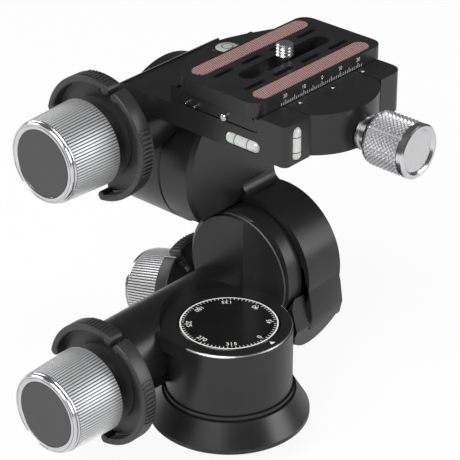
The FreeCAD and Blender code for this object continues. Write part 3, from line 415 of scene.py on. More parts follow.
class Work:
    """A mesh being shaped with Blender's own operators, with its sizes in millimetres."""

    def __init__(self, name: str) -> None:
        """Take the object that an operator has just added.

        Args:
            name: The name that it and its mesh get.
        """
        self.item = bpy.context.object
        self.item.name = name
        self.item.data.name = name

    @staticmethod
    def _clear() -> None:
        """Select nothing, so that the next operators act on their own object alone."""
        if bpy.context.mode != "OBJECT":
            bpy.ops.object.mode_set(mode="OBJECT")
        bpy.ops.object.select_all(action="DESELECT")

    def _hold(self) -> None:
        """Make this object the only selected one and the active one."""
        self._clear()
        self.item.select_set(True)
        bpy.context.view_layer.objects.active = self.item

    @classmethod
    def turned(cls, name: str, profile: Iterable[Flat], sides: int = 96,
               hollow: bool = False) -> "Work":
        """Turn a piece about Z by extruding and resizing one ring.

        Args:
            name: The piece's name.
            profile: The rings' (radius, height) pairs in order.
            sides: How many sides a ring has.
            hollow: Whether the last ring is the first again, which leaves a bore.

        Returns:
            The turned piece, closed.
        """
        (radius, height), *rest = profile
        cls._clear()
        bpy.ops.mesh.primitive_circle_add(
            vertices=sides, radius=radius * MM, location=(0.0, 0.0, height * MM),
            fill_type="NOTHING" if hollow else "NGON")
        work = cls(name)
        work._hold()
        bpy.ops.object.transform_apply(location=True)
        bpy.ops.object.mode_set(mode="EDIT")
        bpy.ops.mesh.select_mode(type="VERT")
        bpy.ops.mesh.select_all(action="SELECT")
        for next_radius, next_height in rest:
            bpy.ops.mesh.extrude_region_move(
                TRANSFORM_OT_translate={"value": (0.0, 0.0, (next_height - height) * MM)})
            ratio = next_radius / radius
            bpy.ops.transform.resize(value=(ratio, ratio, 1.0),
                                     center_override=(0.0, 0.0, next_height * MM))
            radius, height = next_radius, next_height
        return work._closed()

    @classmethod
    def block(cls, name: str, size: Point, bevel: float = 0.0, at: Point = (0, 0, 0)) -> "Work":
        """Make a block.

        Args:
            name: The piece's name.
            size: Its lengths along X, Y and Z.
            bevel: How far its edges are cut back.
            at: Where its middle is.

        Returns:
            The block, closed.
        """
        cls._clear()
        bpy.ops.mesh.primitive_cube_add(size=MM, location=Vector(at) * MM, scale=size)
        work = cls(name)
        work._hold()
        bpy.ops.object.transform_apply(location=True, rotation=True, scale=True)
        if bevel:
            bpy.ops.object.mode_set(mode="EDIT")
            bpy.ops.mesh.select_all(action="SELECT")
            bpy.ops.mesh.bevel(offset=bevel * MM, segments=2, affect="EDGES")
        return work._closed()

    @classmethod
    def letters(cls, name: str, text: str, height: float, thickness: float) -> "Work":
        """Cut plain characters from a sheet, their middle at the origin, facing +Z.

        Args:
            name: The piece's name.
            text: The characters.
            height: How tall a capital is.
            thickness: The sheet's thickness.

        Returns:
            The characters as one piece.
        """
        cls._clear()
        bpy.ops.object.text_add()
        curve = bpy.context.object.data
        curve.body = text
        curve.size = height * LETTER_RATIO * MM
        curve.align_x = "CENTER"
        curve.align_y = "CENTER"
        curve.extrude = thickness / 2 * MM
        bpy.ops.object.convert(target="MESH")
        return cls(name)

    def _closed(self) -> "Work":
        """Merge doubles, point the faces outwards and leave edit mode.

        Returns:
            This piece.
        """
        if bpy.context.mode != "EDIT_MESH":
            self._hold()
            bpy.ops.object.mode_set(mode="EDIT")
        bpy.ops.mesh.select_all(action="SELECT")
        bpy.ops.mesh.remove_doubles(threshold=MERGE_DISTANCE * MM)
        bpy.ops.mesh.normals_make_consistent(inside=False)
        bpy.ops.object.mode_set(mode="OBJECT")
        return self

    def pick(self, test: Callable[[Vector, Vector], bool], kind: str = "FACE") -> None:
        """Enter edit mode with only the faces or points that the test picks.

        Args:
            test: Takes a place in millimetres and a normal.
            kind: FACE or VERT.
        """
        self._hold()
        mesh = self.item.data
        bpy.ops.object.mode_set(mode="EDIT")
        bpy.ops.mesh.select_mode(type=kind)
        bpy.ops.mesh.select_all(action="DESELECT")
        bpy.ops.object.mode_set(mode="OBJECT")
        if kind == "FACE":
            for face in mesh.polygons:
                face.select = test(face.center / MM, face.normal)
        else:
            for point in mesh.vertices:
                point.select = test(point.co / MM, point.normal)
        bpy.ops.object.mode_set(mode="EDIT")

    def scale_points(self, test: Callable[[Vector, Vector], bool], ratio: float) -> "Work":
        """Move the picked points towards or away from the Z axis.

        Args:
            test: Takes a place in millimetres and a normal, and picks a point.
            ratio: What the points' distance from the axis is multiplied by.

        Returns:
            This piece.
        """
        self.pick(test, "VERT")
        bpy.ops.transform.resize(value=(ratio, ratio, 1.0), center_override=(0.0, 0.0, 0.0))
        bpy.ops.object.mode_set(mode="OBJECT")
        return self

    def split_faces(self) -> "Work":
        """Split every bent face along its shorter diagonal.

        Returns:
            This piece.
        """
        self.pick(lambda place, normal: True)
        bpy.ops.mesh.quads_convert_to_tris(quad_method="SHORTEST_DIAGONAL")
        bpy.ops.object.mode_set(mode="OBJECT")
        return self

    @classmethod
    def swept(cls, name: str, outline: Iterable[Flat], start: float,
              sweep: float) -> "Work":
        """Spin a flat section about Z.

        Args:
            name: The piece's name.
            outline: The section's (radius, height) corners in order.
            start: The angle from X where it starts, in degrees.
            sweep: How far it goes on from there, in degrees.

        Returns:
            The swept piece, closed.
        """
        work = cls._section(name, [Vector((r, 0.0, h)) for r, h in outline])
        bpy.ops.mesh.spin(steps=max(LEAST_STEPS, round(sweep / SWEEP_STEP)),
                          angle=math.radians(-sweep), center=(0.0, 0.0, 0.0),
                          axis=(0.0, 0.0, 1.0))
        return work._closed().move(spun(start))

    @classmethod
    def prism(cls, name: str, outline: Iterable[Point], depth: Point) -> "Work":
        """Extrude a flat section.

        Args:
            name: The piece's name.
            outline: The section's corners in order.
            depth: How far, and which way, it is extruded.

        Returns:
            The prism, closed.
        """
        work = cls._section(name, [Vector(corner) for corner in outline])
        bpy.ops.mesh.extrude_region_move(
            TRANSFORM_OT_translate={"value": Vector(depth) * MM})
        return work._closed()

    @classmethod
    def _section(cls, name: str, outline: list[Vector]) -> "Work":
        """Draw a flat face corner by corner, and stay in edit mode with it selected.

        Args:
            name: The piece's name.
            outline: The face's corners in order, in millimetres.

        Returns:
            The piece, in edit mode.
        """
        cls._clear()
        bpy.ops.mesh.primitive_plane_add(size=MM)
        work = cls(name)
        work._hold()
        bpy.ops.object.mode_set(mode="EDIT")
        bpy.ops.mesh.select_mode(type="VERT")
        bpy.ops.mesh.select_all(action="SELECT")
        bpy.ops.mesh.merge(type="CENTER")
        bpy.ops.transform.translate(value=outline[0] * MM)
        for before, after in zip(outline, outline[1:]):
            bpy.ops.mesh.extrude_vertices_move(
                TRANSFORM_OT_translate={"value": (after - before) * MM})
        bpy.ops.mesh.select_all(action="SELECT")
        bpy.ops.mesh.edge_face_add()
        return work

    @classmethod
    def copied(cls, name: str, node: str) -> "Work":
        """Copy a CAD node's mesh and merge its loose triangles.

        Args:
            name: The copy's name.
            node: The CAD node.

        Returns:
            The copy, closed, with one face on each flat.
        """
        cls._clear()
        copy = frame["nodes"][node].copy()
        copy.data = copy.data.copy()
        bpy.context.collection.objects.link(copy)
        bpy.context.view_layer.objects.active = copy
        copy.select_set(True)
        bpy.ops.mesh.customdata_custom_splitnormals_clear()
        return cls(name)._closed().flattened()

    def flattened(self) -> "Work":
        """Merge the triangles of each flat face, so that shading stays even.

        Returns:
            This piece.
        """
        self.pick(lambda place, normal: True)
        bpy.ops.mesh.dissolve_limited(angle_limit=math.radians(FLAT_ANGLE))
        bpy.ops.object.mode_set(mode="OBJECT")
        return self

    def sliced(self, at: Point, normal: Point) -> "Work":
        """Cut off what lies on one side of a plane, and close the cut.

        Args:
            at: A place on the plane.
            normal: It points to the side that is cut off.

        Returns:
            This piece.
        """
        self._hold()
        bpy.ops.object.mode_set(mode="EDIT")
        bpy.ops.mesh.select_all(action="SELECT")
        bpy.ops.mesh.bisect(plane_co=Vector(at) * MM, plane_no=normal, use_fill=True,
                            clear_outer=True)
        return self._closed()

    def less(self, cutter: "Work") -> "Work":
        """Cut another piece's solid away from this one.

        Args:
            cutter: The other piece, which is used up.

        Returns:
            This piece.
        """
        self._hold()
        cut = self.item.modifiers.new("Cut", "BOOLEAN")
        cut.operation = "DIFFERENCE"
        cut.solver = "EXACT"
        cut.object = cutter.item
        bpy.ops.object.modifier_apply(modifier=cut.name)
        bpy.data.objects.remove(cutter.item)
        return self._closed()

    def softened(self, width: float) -> "Work":
        """Round every sharp edge.

        Args:
            width: How far the edges are cut back.

        Returns:
            This piece.
        """
        self._hold()
        rounding = self.item.modifiers.new("Rounding", "BEVEL")
        rounding.width = width * MM
        rounding.segments = 3
        rounding.angle_limit = math.radians(ROUNDED_ANGLE)
        bpy.ops.object.modifier_apply(modifier=rounding.name)
        return self

    def move(self, matrix: Matrix) -> "Work":
        """Put the mesh in its place.

        Args:
            matrix: The turn and the move, in millimetres.

        Returns:
            This piece.
        """
        self._hold()
        placed = matrix.copy()
        placed.translation = matrix.translation * MM
        self.item.matrix_world = placed
        bpy.ops.object.transform_apply(location=True, rotation=True, scale=True)
        return self

    def repeat(self, matrices: Iterable[Matrix]) -> "Work":
        """Copy the mesh to each place and join the copies.

        Args:
            matrices: The copies' turns and moves, in millimetres.

        Returns:
            All the copies as one piece.
        """
        name = self.item.name
        copies = []
        for matrix in matrices:
            copy = self.item.copy()
            copy.data = self.item.data.copy()
            placed = matrix.copy()
            placed.translation = matrix.translation * MM
            copy.data.transform(placed)
            bpy.context.collection.objects.link(copy)
            copies.append(copy)
        self._clear()
        bpy.data.objects.remove(self.item)
        for copy in copies:
            copy.select_set(True)
        bpy.context.view_layer.objects.active = copies[0]
        if len(copies) > 1:
            bpy.ops.object.join()
        return Work(name)

    def join(self, *others: "Work") -> "Work":
        """Join other pieces to this one.

        Args:
            *others: The other pieces, which are used up.

        Returns:
            This piece.
        """
        self._hold()
        for other in others:
            other.item.select_set(True)
        bpy.context.view_layer.objects.active = self.item
        bpy.ops.object.join()
        return self

    def finish(self, look: Look, body: str, stands_for: Iterable[str] = (),
               angle: float = SMOOTH_ANGLE) -> bpy.types.Object:
        """Shade, paint and fasten the piece.

        Args:
            look: Its finish.
            body: The CAD body that carries it.
            stands_for: The CAD nodes that it replaces.
            angle: Edges sharper than this stay crisp, in degrees.

        Returns:
            The finished object.
        """
        self._hold()
        bpy.ops.object.shade_smooth_by_angle(angle=math.radians(angle))
        self.item.data.materials.clear()
        self.item.data.materials.append(Paints.of(look))
        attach(self.item, body)
        if stands_for:
            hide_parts(*stands_for)
        LOG.info("piece %s on %s", self.item.name, body)
        return self.item


def aimed(at: Vector, forward: Vector, up: Vector) -> Matrix:
    """Return the place of a local frame.

    Args:
        at: Where its origin goes, in millimetres.
        forward: Where its Z points.
        up: Roughly where its Y points.

    Returns:
        The matrix that takes local points there.
    """
    z = forward.normalized()
    x = up.cross(z).normalized()
    y = z.cross(x)
    turn = Matrix((x, y, z)).transposed().to_4x4()
    turn.translation = at
    return turn


def spun(angle: float) -> Matrix:
    """Return a turn about Z by degrees."""
    return Matrix.Rotation(math.radians(angle), 4, "Z")


# Sub-assemblies


@dataclass
class DriveKnob:
    """A worm drive's knob: a turned body with a bezel, a ribbed grip and a dark sleeve of
    painted shade between the ribs.

    Depths are measured from the knob's front, along its shaft.
    """

    axis: str
    front: Vector
    into: Vector
    length: float = 22.8
    front_radius: float = 15.4
    back_radius: float = 16.4
    cap_radius: float = 12.45
    bore: float = 2.6
    boss: float = 6.5
    wall: float = 2.2
    floor: float = 6.0
    cap_seat: float = 1.7
    ribs: int = 88
    rib_height: float = 0.42
    rib_width: float = 0.66
    rib_edge: float = 0.09
    grip_start: float = 2.3
    grip_end: float = 22.2

    def build(self) -> None:
        """Make and fasten the body, the dark sleeve of painted shade between the ribs, and the
        grip.
        """
        seat = aimed(self.front, self.into, Z)
        self._body().move(seat).finish(Look.BEZEL, f"{self.axis}_drive", [f"{self.axis}_knob"])
        # The sleeve under the ribs is painted shade for the valleys between them.
        self._valley_shade().move(seat).finish(Look.VALLEY_SHADE, f"{self.axis}_drive")
        self._grip().move(seat).finish(Look.KNOB, f"{self.axis}_drive")

    def radius_at(self, depth: float) -> float:
        """Return the grip's outer radius at a depth behind the front."""
        return self.front_radius + (self.back_radius - self.front_radius) * depth / self.length

    def _body(self) -> Work:
        """Turn the hollow body with its stepped bezel."""
        rim = self.front_radius - 0.4
        under = self.rib_height + 0.12
        profile = [
            (self.bore, self.cap_seat), (self.cap_radius, self.cap_seat),
            (self.cap_radius, 0.45), (self.cap_radius + 0.35, 0.12),
            (self.cap_radius + 0.9, 0.0), (rim - 1.15, 0.0), (rim - 1.0, 0.35),
            (rim - 0.75, 0.35), (rim - 0.6, 0.1), (rim - 0.25, 0.15), (rim, 0.5),
            (rim, 1.0), (rim - 0.35, 1.1), (rim - 0.35, 1.4), (rim + 0.1, 1.5),
            (rim + 0.3, 1.75), (rim + 0.3, 2.1),
            (self.radius_at(self.grip_start) - under, self.grip_start),
            (self.radius_at(self.grip_end) - under, self.grip_end),
            (self.back_radius, self.grip_end + 0.1), (self.back_radius - 0.35, self.length),
            (self.back_radius - self.wall, self.length),
            (self.front_radius - self.wall, self.floor), (self.boss, self.floor),
            (self.boss, self.length - 1), (self.bore, self.length - 1),
            (self.bore, self.cap_seat)]
        return Work.turned(f"{self.axis}_knob_body", profile, 128, hollow=True)

    def _valley_shade(self) -> Work:
        """Turn the dark sleeve that paints the shade in the valleys between the ribs."""
        start, end, low = self.grip_start, self.grip_end, self.rib_height
        first, last = self.radius_at(start) - low, self.radius_at(end) - low
        loop = [(first - 0.1, start), (first, start), (last, end), (last - 0.1, end)]
        return Work.turned(f"{self.axis}_knob_valley", loop + loop[:1], 128, hollow=True)

    def _grip(self) -> Work:
        """Set long ribs round the taper."""
        half_way = (self.grip_start + self.grip_end) / 2
        out = self.radius_at(half_way) - self.rib_height / 2
        taper = math.atan2(self.back_radius - self.front_radius, self.length)
        size = (self.rib_height + 0.1, self.rib_width, self.grip_end - self.grip_start)
        rib = Work.block(f"{self.axis}_knob_grip", size, self.rib_edge)
        rib.move(Matrix.Translation((out, 0, half_way)) @ Matrix.Rotation(taper, 4, "Y"))
        return rib.repeat(spun(360 * k / self.ribs) for k in range(self.ribs))


@dataclass
class ReleaseLever:
    """A release collar: a ring on the drive's sleeve with two hollow, ribbed wings.

    A wing is given by its first angle and its sweep, a row of ribs by its first angle and
    its count. All are in degrees from the direction called zero, after the lever's turn.
    """

    axis: str
    front: Vector
    into: Vector
    zero: Vector
    turn: float = 0.0
    start: float = 25.6
    depth: float = 6.4
    radius: float = 23.8
    bore: float = 6.3
    ring: float = 15.0
    wall: float = 2.4
    web: float = 2.0
    wings: tuple[Flat, ...] = ((12.0, 97.0), (116.0, 149.0))
    wing_round: float = 0.55
    tip_radius: float = 1.75
    tip_inset: float = 3.0
    ribs: tuple[tuple[float, int], ...] = ((76.0, 8), (158.0, 11))
    rib_step: float = 4.0
    rib_size: Point = (0.9, 0.85, 4.6)
    rib_edge: float = 0.22

    def build(self) -> None:
        """Make and fasten the collar and its ribs."""
        seat = aimed(self.front, self.into, self.into.cross(self.zero)) @ spun(self.turn)
        end = self.start + self.depth
        hub = Work.turned(f"{self.axis}_lever_body", [
            (self.bore, self.start), (self.bore + self.wall, self.start),
            (self.bore + self.wall, end - self.web), (self.ring - self.wall, end - self.web),
            (self.ring - self.wall, end - self.web - 1.0), (self.ring, end - self.web - 1.0),
            (self.ring, end), (self.bore, end), (self.bore, self.start)], 96, hollow=True)
        parts = []
        for number, (start, sweep) in enumerate(self.wings):
            parts.append(self._wing(number, start, sweep))
            ends = start + self.tip_inset, start + sweep - self.tip_inset
            for side, angle in enumerate(ends):
                parts.append(self._tip(f"{number}_{side}", angle))
        hub.join(*parts).move(seat).finish(
            Look.LEVER, f"{self.axis}_lever", [f"{self.axis}_release_lever"])
        rib = Work.block(f"{self.axis}_lever_ribs", self.rib_size, self.rib_edge,
                         (self.radius + 0.1, 0, self.start + self.depth / 2))
        turns = [seat @ spun(first + self.rib_step * k)
                 for first, count in self.ribs for k in range(count)]
        rib.repeat(turns).finish(Look.LEVER, f"{self.axis}_lever")

    def _wing(self, number: int, start: float, sweep: float) -> Work:
        """Sweep one wing's outer wall with the web behind it.

        Args:
            number: The wing's number, for its name.
            start: The angle where it starts.
            sweep: How far it goes on from there.

        Returns:
            The wing, with rounded edges.
        """
        end, root = self.start + self.depth, self.ring - 1.0
        inner = self.radius - self.wall
        outline = [(root, end), (self.radius, end), (self.radius, self.start),
                   (inner, self.start), (inner, end - self.web), (root, end - self.web)]
        wing = Work.swept(f"{self.axis}_wing_{number}", outline, start, sweep)
        return wing.softened(self.wing_round)

    def _tip(self, name: str, angle: float) -> Work:
        """Round a wing's end with a small dome-edged post."""
        end, radius = self.start + self.depth, self.tip_radius
        post = Work.turned(f"{self.axis}_tip_{name}", [
            (radius - 0.5, self.start - 0.05), (radius - 0.15, self.start + 0.1),
            (radius, self.start + 0.5), (radius, end - 0.5), (radius - 0.5, end)], 32)
        return post.move(spun(angle) @ Matrix.Translation((self.radius - radius - 0.1, 0, 0)))


@dataclass
class TubeCollar:
    """The black collar that ends a worm tube behind its release lever."""

    name: str
    body: str
    seat: Matrix
    radius: float
    start: float
    length: float
    bore: float = 12.4

    def build(self) -> None:
        """Make and fasten the ring."""
        out, end = self.radius, self.start + self.length
        Work.turned(self.name, [
            (self.bore, self.start), (out - 0.7, self.start), (out - 0.2, self.start + 0.2),
            (out, self.start + 0.7), (out, end), (self.bore, end), (self.bore, self.start)],
            96, hollow=True).move(self.seat).finish(Look.ANODISED, self.body)


@dataclass
class ArmShell:
    """The swing arm with a flat front, given by its (y, z) corners, and a bevelled tube end."""

    bevel_at: Point = (41.0, -13.1, 30.0)
    bevel_normal: Point = (0.0, -0.925, -0.379)
    near: float = 32.3
    far: float = 50.3
    edge: float = 0.5
    front: tuple[Flat, ...] = (
        (-8.3, 50.3), (-11.6, 38.6), (-12.8, 30.3), (-11.4, 24.4), (-7.5, 24.4),
        (-4.4, 32.0), (-3.6, 38.0), (-3.2, 50.3))

    def build(self) -> None:
        """Bevel a copy of the casting and fill its front."""
        casting = Work.copied("arm_casting", "swing_arm")
        casting.sliced(self.bevel_at, self.bevel_normal)
        filler = Work.prism("arm_front", [(self.near, y, z) for y, z in self.front],
                            (self.far - self.near, 0.0, 0.0)).softened(self.edge)
        casting.join(filler).finish(Look.ANODISED, "arm", ["swing_arm"], CASTING_ANGLE)


@dataclass
class DeckShell:
    """The top casting with its fence trimmed to a curve of (x, y) points behind the plate."""

    shelf: float = 119.0
    above: float = 128.0
    curve: tuple[Flat, ...] = (
        (-3.0, 26.5), (1.6, 27.0), (4.3, 30.9), (12.8, 34.4), (20.3, 36.8), (28.0, 38.8),
        (35.5, 39.8), (42.0, 38.4), (48.8, 36.0), (54.5, 33.4), (66.0, 28.0),
        (66.0, 50.0), (-3.0, 50.0))

    def build(self) -> None:
        """Trim a copy of the casting."""
        cutter = Work.prism("fence_cutter", [(x, y, self.shelf) for x, y in self.curve],
                            (0.0, 0.0, self.above - self.shelf))
        casting = Work.copied("deck_casting", "platform").less(cutter)
        casting.finish(Look.ANODISED, "top", ["platform"], CASTING_ANGLE)


@dataclass
class DegreeDial:
    """The pan dial: an engraved ring, ticks every 5 degrees, numbers every 45."""

    top: float
    radius: float
    rise: float = 0.03
    inset: float = 0.5
    line: float = 0.55
    tick: float = 1.1
    long_tick: float = 1.8
    tick_width: float = 0.24
    ticks: int = 72
    numbers: int = 8
    number_circle: float = 14.7
    number_height: float = 2.0
    pointer: float = 1.25
    pointer_gap: float = 2.1

    def build(self) -> None:
        """Make and fasten the ring, the ticks, the numbers and the pointer."""
        top, rise, ring = self.top, self.rise, self.radius - self.inset
        Work.turned("dial_ring", [
            (ring - self.line, top), (ring, top), (ring, top + rise),
            (ring - self.line, top + rise), (ring - self.line, top)], 144, hollow=True
        ).finish(Look.MARK, "base")
        for name, count, length in (("dial_ticks", self.ticks, self.tick),
                                    ("dial_long_ticks", self.numbers, self.long_tick)):
            mark = Work.block(name, (length, self.tick_width, rise), 0.0,
                              (ring - self.line - length / 2, 0, top + rise / 2))
            mark.repeat(spun(360 * k / count) for k in range(count)).finish(Look.MARK, "base")
        figures = []
        for k in range(self.numbers):
            angle = 360 / self.numbers * k
            figure = Work.letters(f"dial_number_{k}", f"{angle:.0f}", self.number_height, rise)
            place = Matrix.Translation((0, -self.number_circle, top + rise / 2))
            figures.append(figure.move(spun(angle) @ place))
        figures[0].join(*figures[1:]).finish(Look.MARK, "base")
        self._pointer()

    def _pointer(self) -> None:
        """Cut the housing's white pointer from a three-sided prism."""
        pointer = Work.turned("dial_pointer", [
            (self.pointer, self.top), (self.pointer, self.top + self.rise)], 3)
        pointer.move(Matrix.Translation((0, -self.radius - self.pointer_gap, 0)))
        pointer.finish(Look.MARK, "pan")


@dataclass
class PlateScale:
    """The plain number scale on the camera plate's long side."""

    start: float
    end: float
    face: float
    high: float
    slab: float = 5.6
    rise: float = 0.03
    steps: range = range(-22, 23)
    long_every: int = 5
    tick: float = 1.1
    long_tick: float = 1.9
    tick_width: float = 0.22
    tick_lift: float = 0.9
    marks: tuple[str, ...] = ("20", "10", "0", "10", "20")
    mark_step: float = 10.0
    mark_height: float = 1.5
    mark_drop: float = 1.5

    def build(self) -> None:
        """Make and fasten the ticks and the numbers."""
        half_way = (self.start + self.end) / 2
        ticks = []
        for name, length, is_long in (("scale_ticks", self.tick, False),
                                      ("scale_long_ticks", self.long_tick, True)):
            mark = Work.block(name, (self.tick_width, length, self.rise), 0.0,
                              (0, length / 2, 0))
            ticks.append(mark.repeat(
                self._facing(half_way + k, self.high - self.slab + self.tick_lift)
                for k in self.steps if (k % self.long_every == 0) is is_long))
        ticks[0].join(ticks[1]).finish(Look.MARK, "plate")
        figures = []
        for k, text in enumerate(self.marks):
            figure = Work.letters(f"scale_number_{k}", text, self.mark_height, self.rise)
            along = half_way + self.mark_step * (k - len(self.marks) // 2)
            figures.append(figure.move(self._facing(along, self.high - self.mark_drop)))
        figures[0].join(*figures[1:]).finish(Look.MARK, "plate")

    def _facing(self, along: float, height: float) -> Matrix:
        """Return a place on the plate's long side, facing outwards."""
        return aimed(Vector((along, self.face, height)), -Y, Z)


@dataclass
class ClampKnob:
    """The clamp's knurled knob with smooth lengthwise flutes and a dished end."""

    front: Vector
    into: Vector
    length: float = 18.5
    radius: float = 10.0
    bore: float = 2.0
    dish: float = 0.9
    collar_radius: float = 6.0
    collar_end: float = 23.4
    columns: int = 72
    flutes: int = 8
    flute_depth: float = 0.75
    knurl_sink: float = 0.6
    knurl_start: float = 3.4
    knurl_end: float = 17.2
    rows: int = 17
    knurl_height: float = 0.70

    def build(self) -> None:
        """Make and fasten the turned ends and the knurled grip."""
        seat = aimed(self.front, self.into, Z)
        out, end = self.radius, self.length
        low = out - self.knurl_sink
        core = [
            (self.bore, self.dish), (out - 2.6, self.dish), (out - 2.1, 0.35), (out - 1.6, 0.0),
            (out - 0.6, 0.0), (out, 0.6), (out, 2.6), (out - 0.5, 3.1), (low - 0.6, 3.3),
            (low - 0.6, self.knurl_end + 0.2), (out - 0.4, end - 0.9), (out - 1.0, end),
            (self.collar_radius, end), (self.collar_radius, self.collar_end),
            (self.bore, self.collar_end)]
        Work.turned("clamp_knob_core", core, 96).move(seat).finish(
            Look.BEZEL, "clamp", ["clamp_knob"])
        self._knurl(low).move(seat).finish(Look.KNURL, "clamp", angle=KNURL_ANGLE)

    def _knurl(self, low: float) -> Work:
        """Raise every other point of a gridded sleeve, and sink its flutes.

        Args:
            low: The radius of the grooves between the diamonds.

        Returns:
            The sleeve, with every bent face split.
        """
        step = (self.knurl_end - self.knurl_start) / self.rows
        rings = [(low, self.knurl_start + step * k) for k in range(self.rows + 1)]
        inner = low - 0.5
        loop = rings + [(inner, self.knurl_end), (inner, self.knurl_start), rings[0]]
        work = Work.turned("clamp_knob_knurl", loop, self.columns, hollow=True)
        every = self.columns // self.flutes

        def column(place: Vector) -> int:
            """Return the number of the column of points that a place is in."""
            return round(math.atan2(place.y, place.x) / (2 * math.pi) * self.columns)

        def outer(place: Vector) -> bool:
            """Tell whether a point is on the sleeve's outside."""
            return math.hypot(place.x, place.y) > low - 0.2

        def fluted(place: Vector, _: Vector) -> bool:
            """Tell whether a point belongs to a flute."""
            return outer(place) and column(place) % every == 0

        def raised(place: Vector, _: Vector) -> bool:
            """Tell whether a point is the tip of a knurl diamond."""
            row = round((place.z - self.knurl_start) / step)
            return (outer(place) and 0 < row < self.rows and column(place) % every != 0
                    and (column(place) + row) % 2 == 0)

        work.scale_points(raised, (low + self.knurl_height) / low)
        return work.scale_points(fluted, (low - self.flute_depth) / low).split_faces()


@dataclass
class CameraScrew:
    """The captive camera screw, its thread, and a black sheet of painted shade for the coin
    slot in its head.
    """

    seat: Matrix
    head_radius: float
    bottom: float
    top: float
    radius: float = 3.175
    root: float = 2.65
    neck: float = 2.5
    thread_start: float = 131.5
    pitch: float = 1.27
    crest: Flat = (0.45, 0.6)
    head_height: float = 2.5
    head_edge: float = 0.4
    slot_width: float = 1.4
    slot_share: float = 1.5

    def build(self) -> None:
        """Make and fasten the threaded screw and the painted shade of the slot."""
        shoulder = self.bottom + self.head_height
        profile = [(self.head_radius - self.head_edge, self.bottom),
                   (self.head_radius, self.bottom + self.head_edge),
                   (self.head_radius, shoulder), (self.neck, shoulder),
                   (self.neck, self.thread_start)]
        height = self.thread_start
        while height + self.pitch < self.top - 0.4:
            profile.append((self.root, height + 0.1))
            profile += [(self.radius, height + self.pitch * share) for share in self.crest]
            profile.append((self.root, height + self.pitch))
            height += self.pitch
        profile += [(self.radius, height + 0.4), (self.radius, self.top - 0.5),
                    (self.radius - 0.6, self.top)]
        Work.turned("camera_screw_turned", profile, 48).move(self.seat).finish(
            Look.STEEL, "camera_screw", ["camera_screw"])
        # Painted shade: the slot is not cut; a thin black sheet stands for its shade.
        size = (self.slot_width, self.head_radius * self.slot_share, 0.1)
        Work.block("camera_screw_slot_shade", size, 0.0, (0, 0, self.bottom - 0.02)).move(
            self.seat).finish(Look.LINE, "camera_screw")


@dataclass
class Levels:
    """The spirit levels: a bull's eye on the fence and a tube in each of two faces."""

    eye_radius: float = 4.4
    ring_radius: float = 6.0
    circle: Flat = (2.0, 2.25)
    line_half: float = 0.16
    line_rise: float = 0.03
    line_shift: float = 2.9

    def build(self) -> None:
        """Make and fasten the bull's eye, and the lines round the tubes."""
        low, high = corners("bubble_level")
        at = under("bubble_level")
        eye, ring, base, rim = self.eye_radius, self.ring_radius, low.z, high.z - 0.3
        Work.turned("bubble_ring", [
            (eye + 0.1, base), (ring, base), (ring, rim - 0.1), (ring - 0.4, rim + 0.15),
            (eye + 0.5, rim + 0.15), (eye + 0.1, rim - 0.1), (eye + 0.1, base)], 72, hollow=True
        ).move(at).finish(Look.ANODISED, "top", ["bubble_level"])
        dome = [(eye, base), (eye, rim - 0.2)]
        for angle in map(math.radians, (20, 40, 60, 80)):
            dome.append((eye * math.cos(angle), rim - 0.2 + 0.5 * math.sin(angle)))
        Work.turned("bubble_dome", dome, 72).move(at).finish(Look.VIAL, "top")
        (near, far), top = self.circle, rim + 0.24
        Work.turned("bubble_circle", [
            (near, top), (far, top), (far, top + 0.06), (near, top + 0.06), (near, top)], 48,
            hollow=True).move(at).finish(Look.LINE, "top")
        for node in ("front_vial", "side_vial"):
            self._lines(node)

    def _lines(self, node: str) -> None:
        """Ring a tube with its two black lines."""
        low, high = corners(node)
        size = high - low
        long = max(range(3), key=lambda i: size[i])
        axis, side = (X, Y, Z)[long], X if long else Y
        radius, half = size[(long + 1) % 3] / 2, self.line_half
        inner, outer = radius - 0.2, radius + self.line_rise
        ring = Work.turned(f"{node}_lines", [
            (inner, -half), (outer, -half), (outer, half), (inner, half), (inner, -half)], 40,
            hollow=True)
        ring.repeat(aimed(middle(node) + axis * shift, axis, side)
                    for shift in (-self.line_shift, self.line_shift)).finish(Look.LINE, "top")


@dataclass
class SmallMarks:
    """The bright stop pins in the plate's end, and the index marks beside it.

    A pin is given by its y, z and radius, a mark by its x, y and the body that carries it.
    """

    pins: tuple[Point, ...] = (
        (0.9, 121.6, 1.25), (14.2, 121.5, 0.5), (18.5, 121.6, 0.5))
    marks: tuple[tuple[float, float, str], ...] = (
        (17.7, -17.2, "jaw"), (34.6, -18.0, "jaw"), (52.2, -17.3, "top"))
    mark_radius: float = 0.8
    mark_top: float = 126.0
    rise: float = 0.03

    def build(self) -> None:
        """Make and fasten the pins and the marks."""
        end = corners("plate")[0].x
        for number, (y, z, radius) in enumerate(self.pins):
            pin = Work.turned(f"plate_pin_{number}", [
                (radius * 0.45, -0.05), (radius * 0.5, -0.3), (radius * 0.9, -0.3),
                (radius, -0.15), (radius, 0.8)], 24)
            pin.move(aimed(Vector((end, y, z)), X, Z)).finish(Look.STEEL, "plate")
        for number, (x, y, body) in enumerate(self.marks):
            mark = Work.turned(f"index_mark_{number}", [
                (self.mark_radius, self.mark_top),
                (self.mark_radius, self.mark_top + self.rise)], 3)
            mark.move(Matrix.Translation((x, y, 0))).finish(Look.MARK, body)


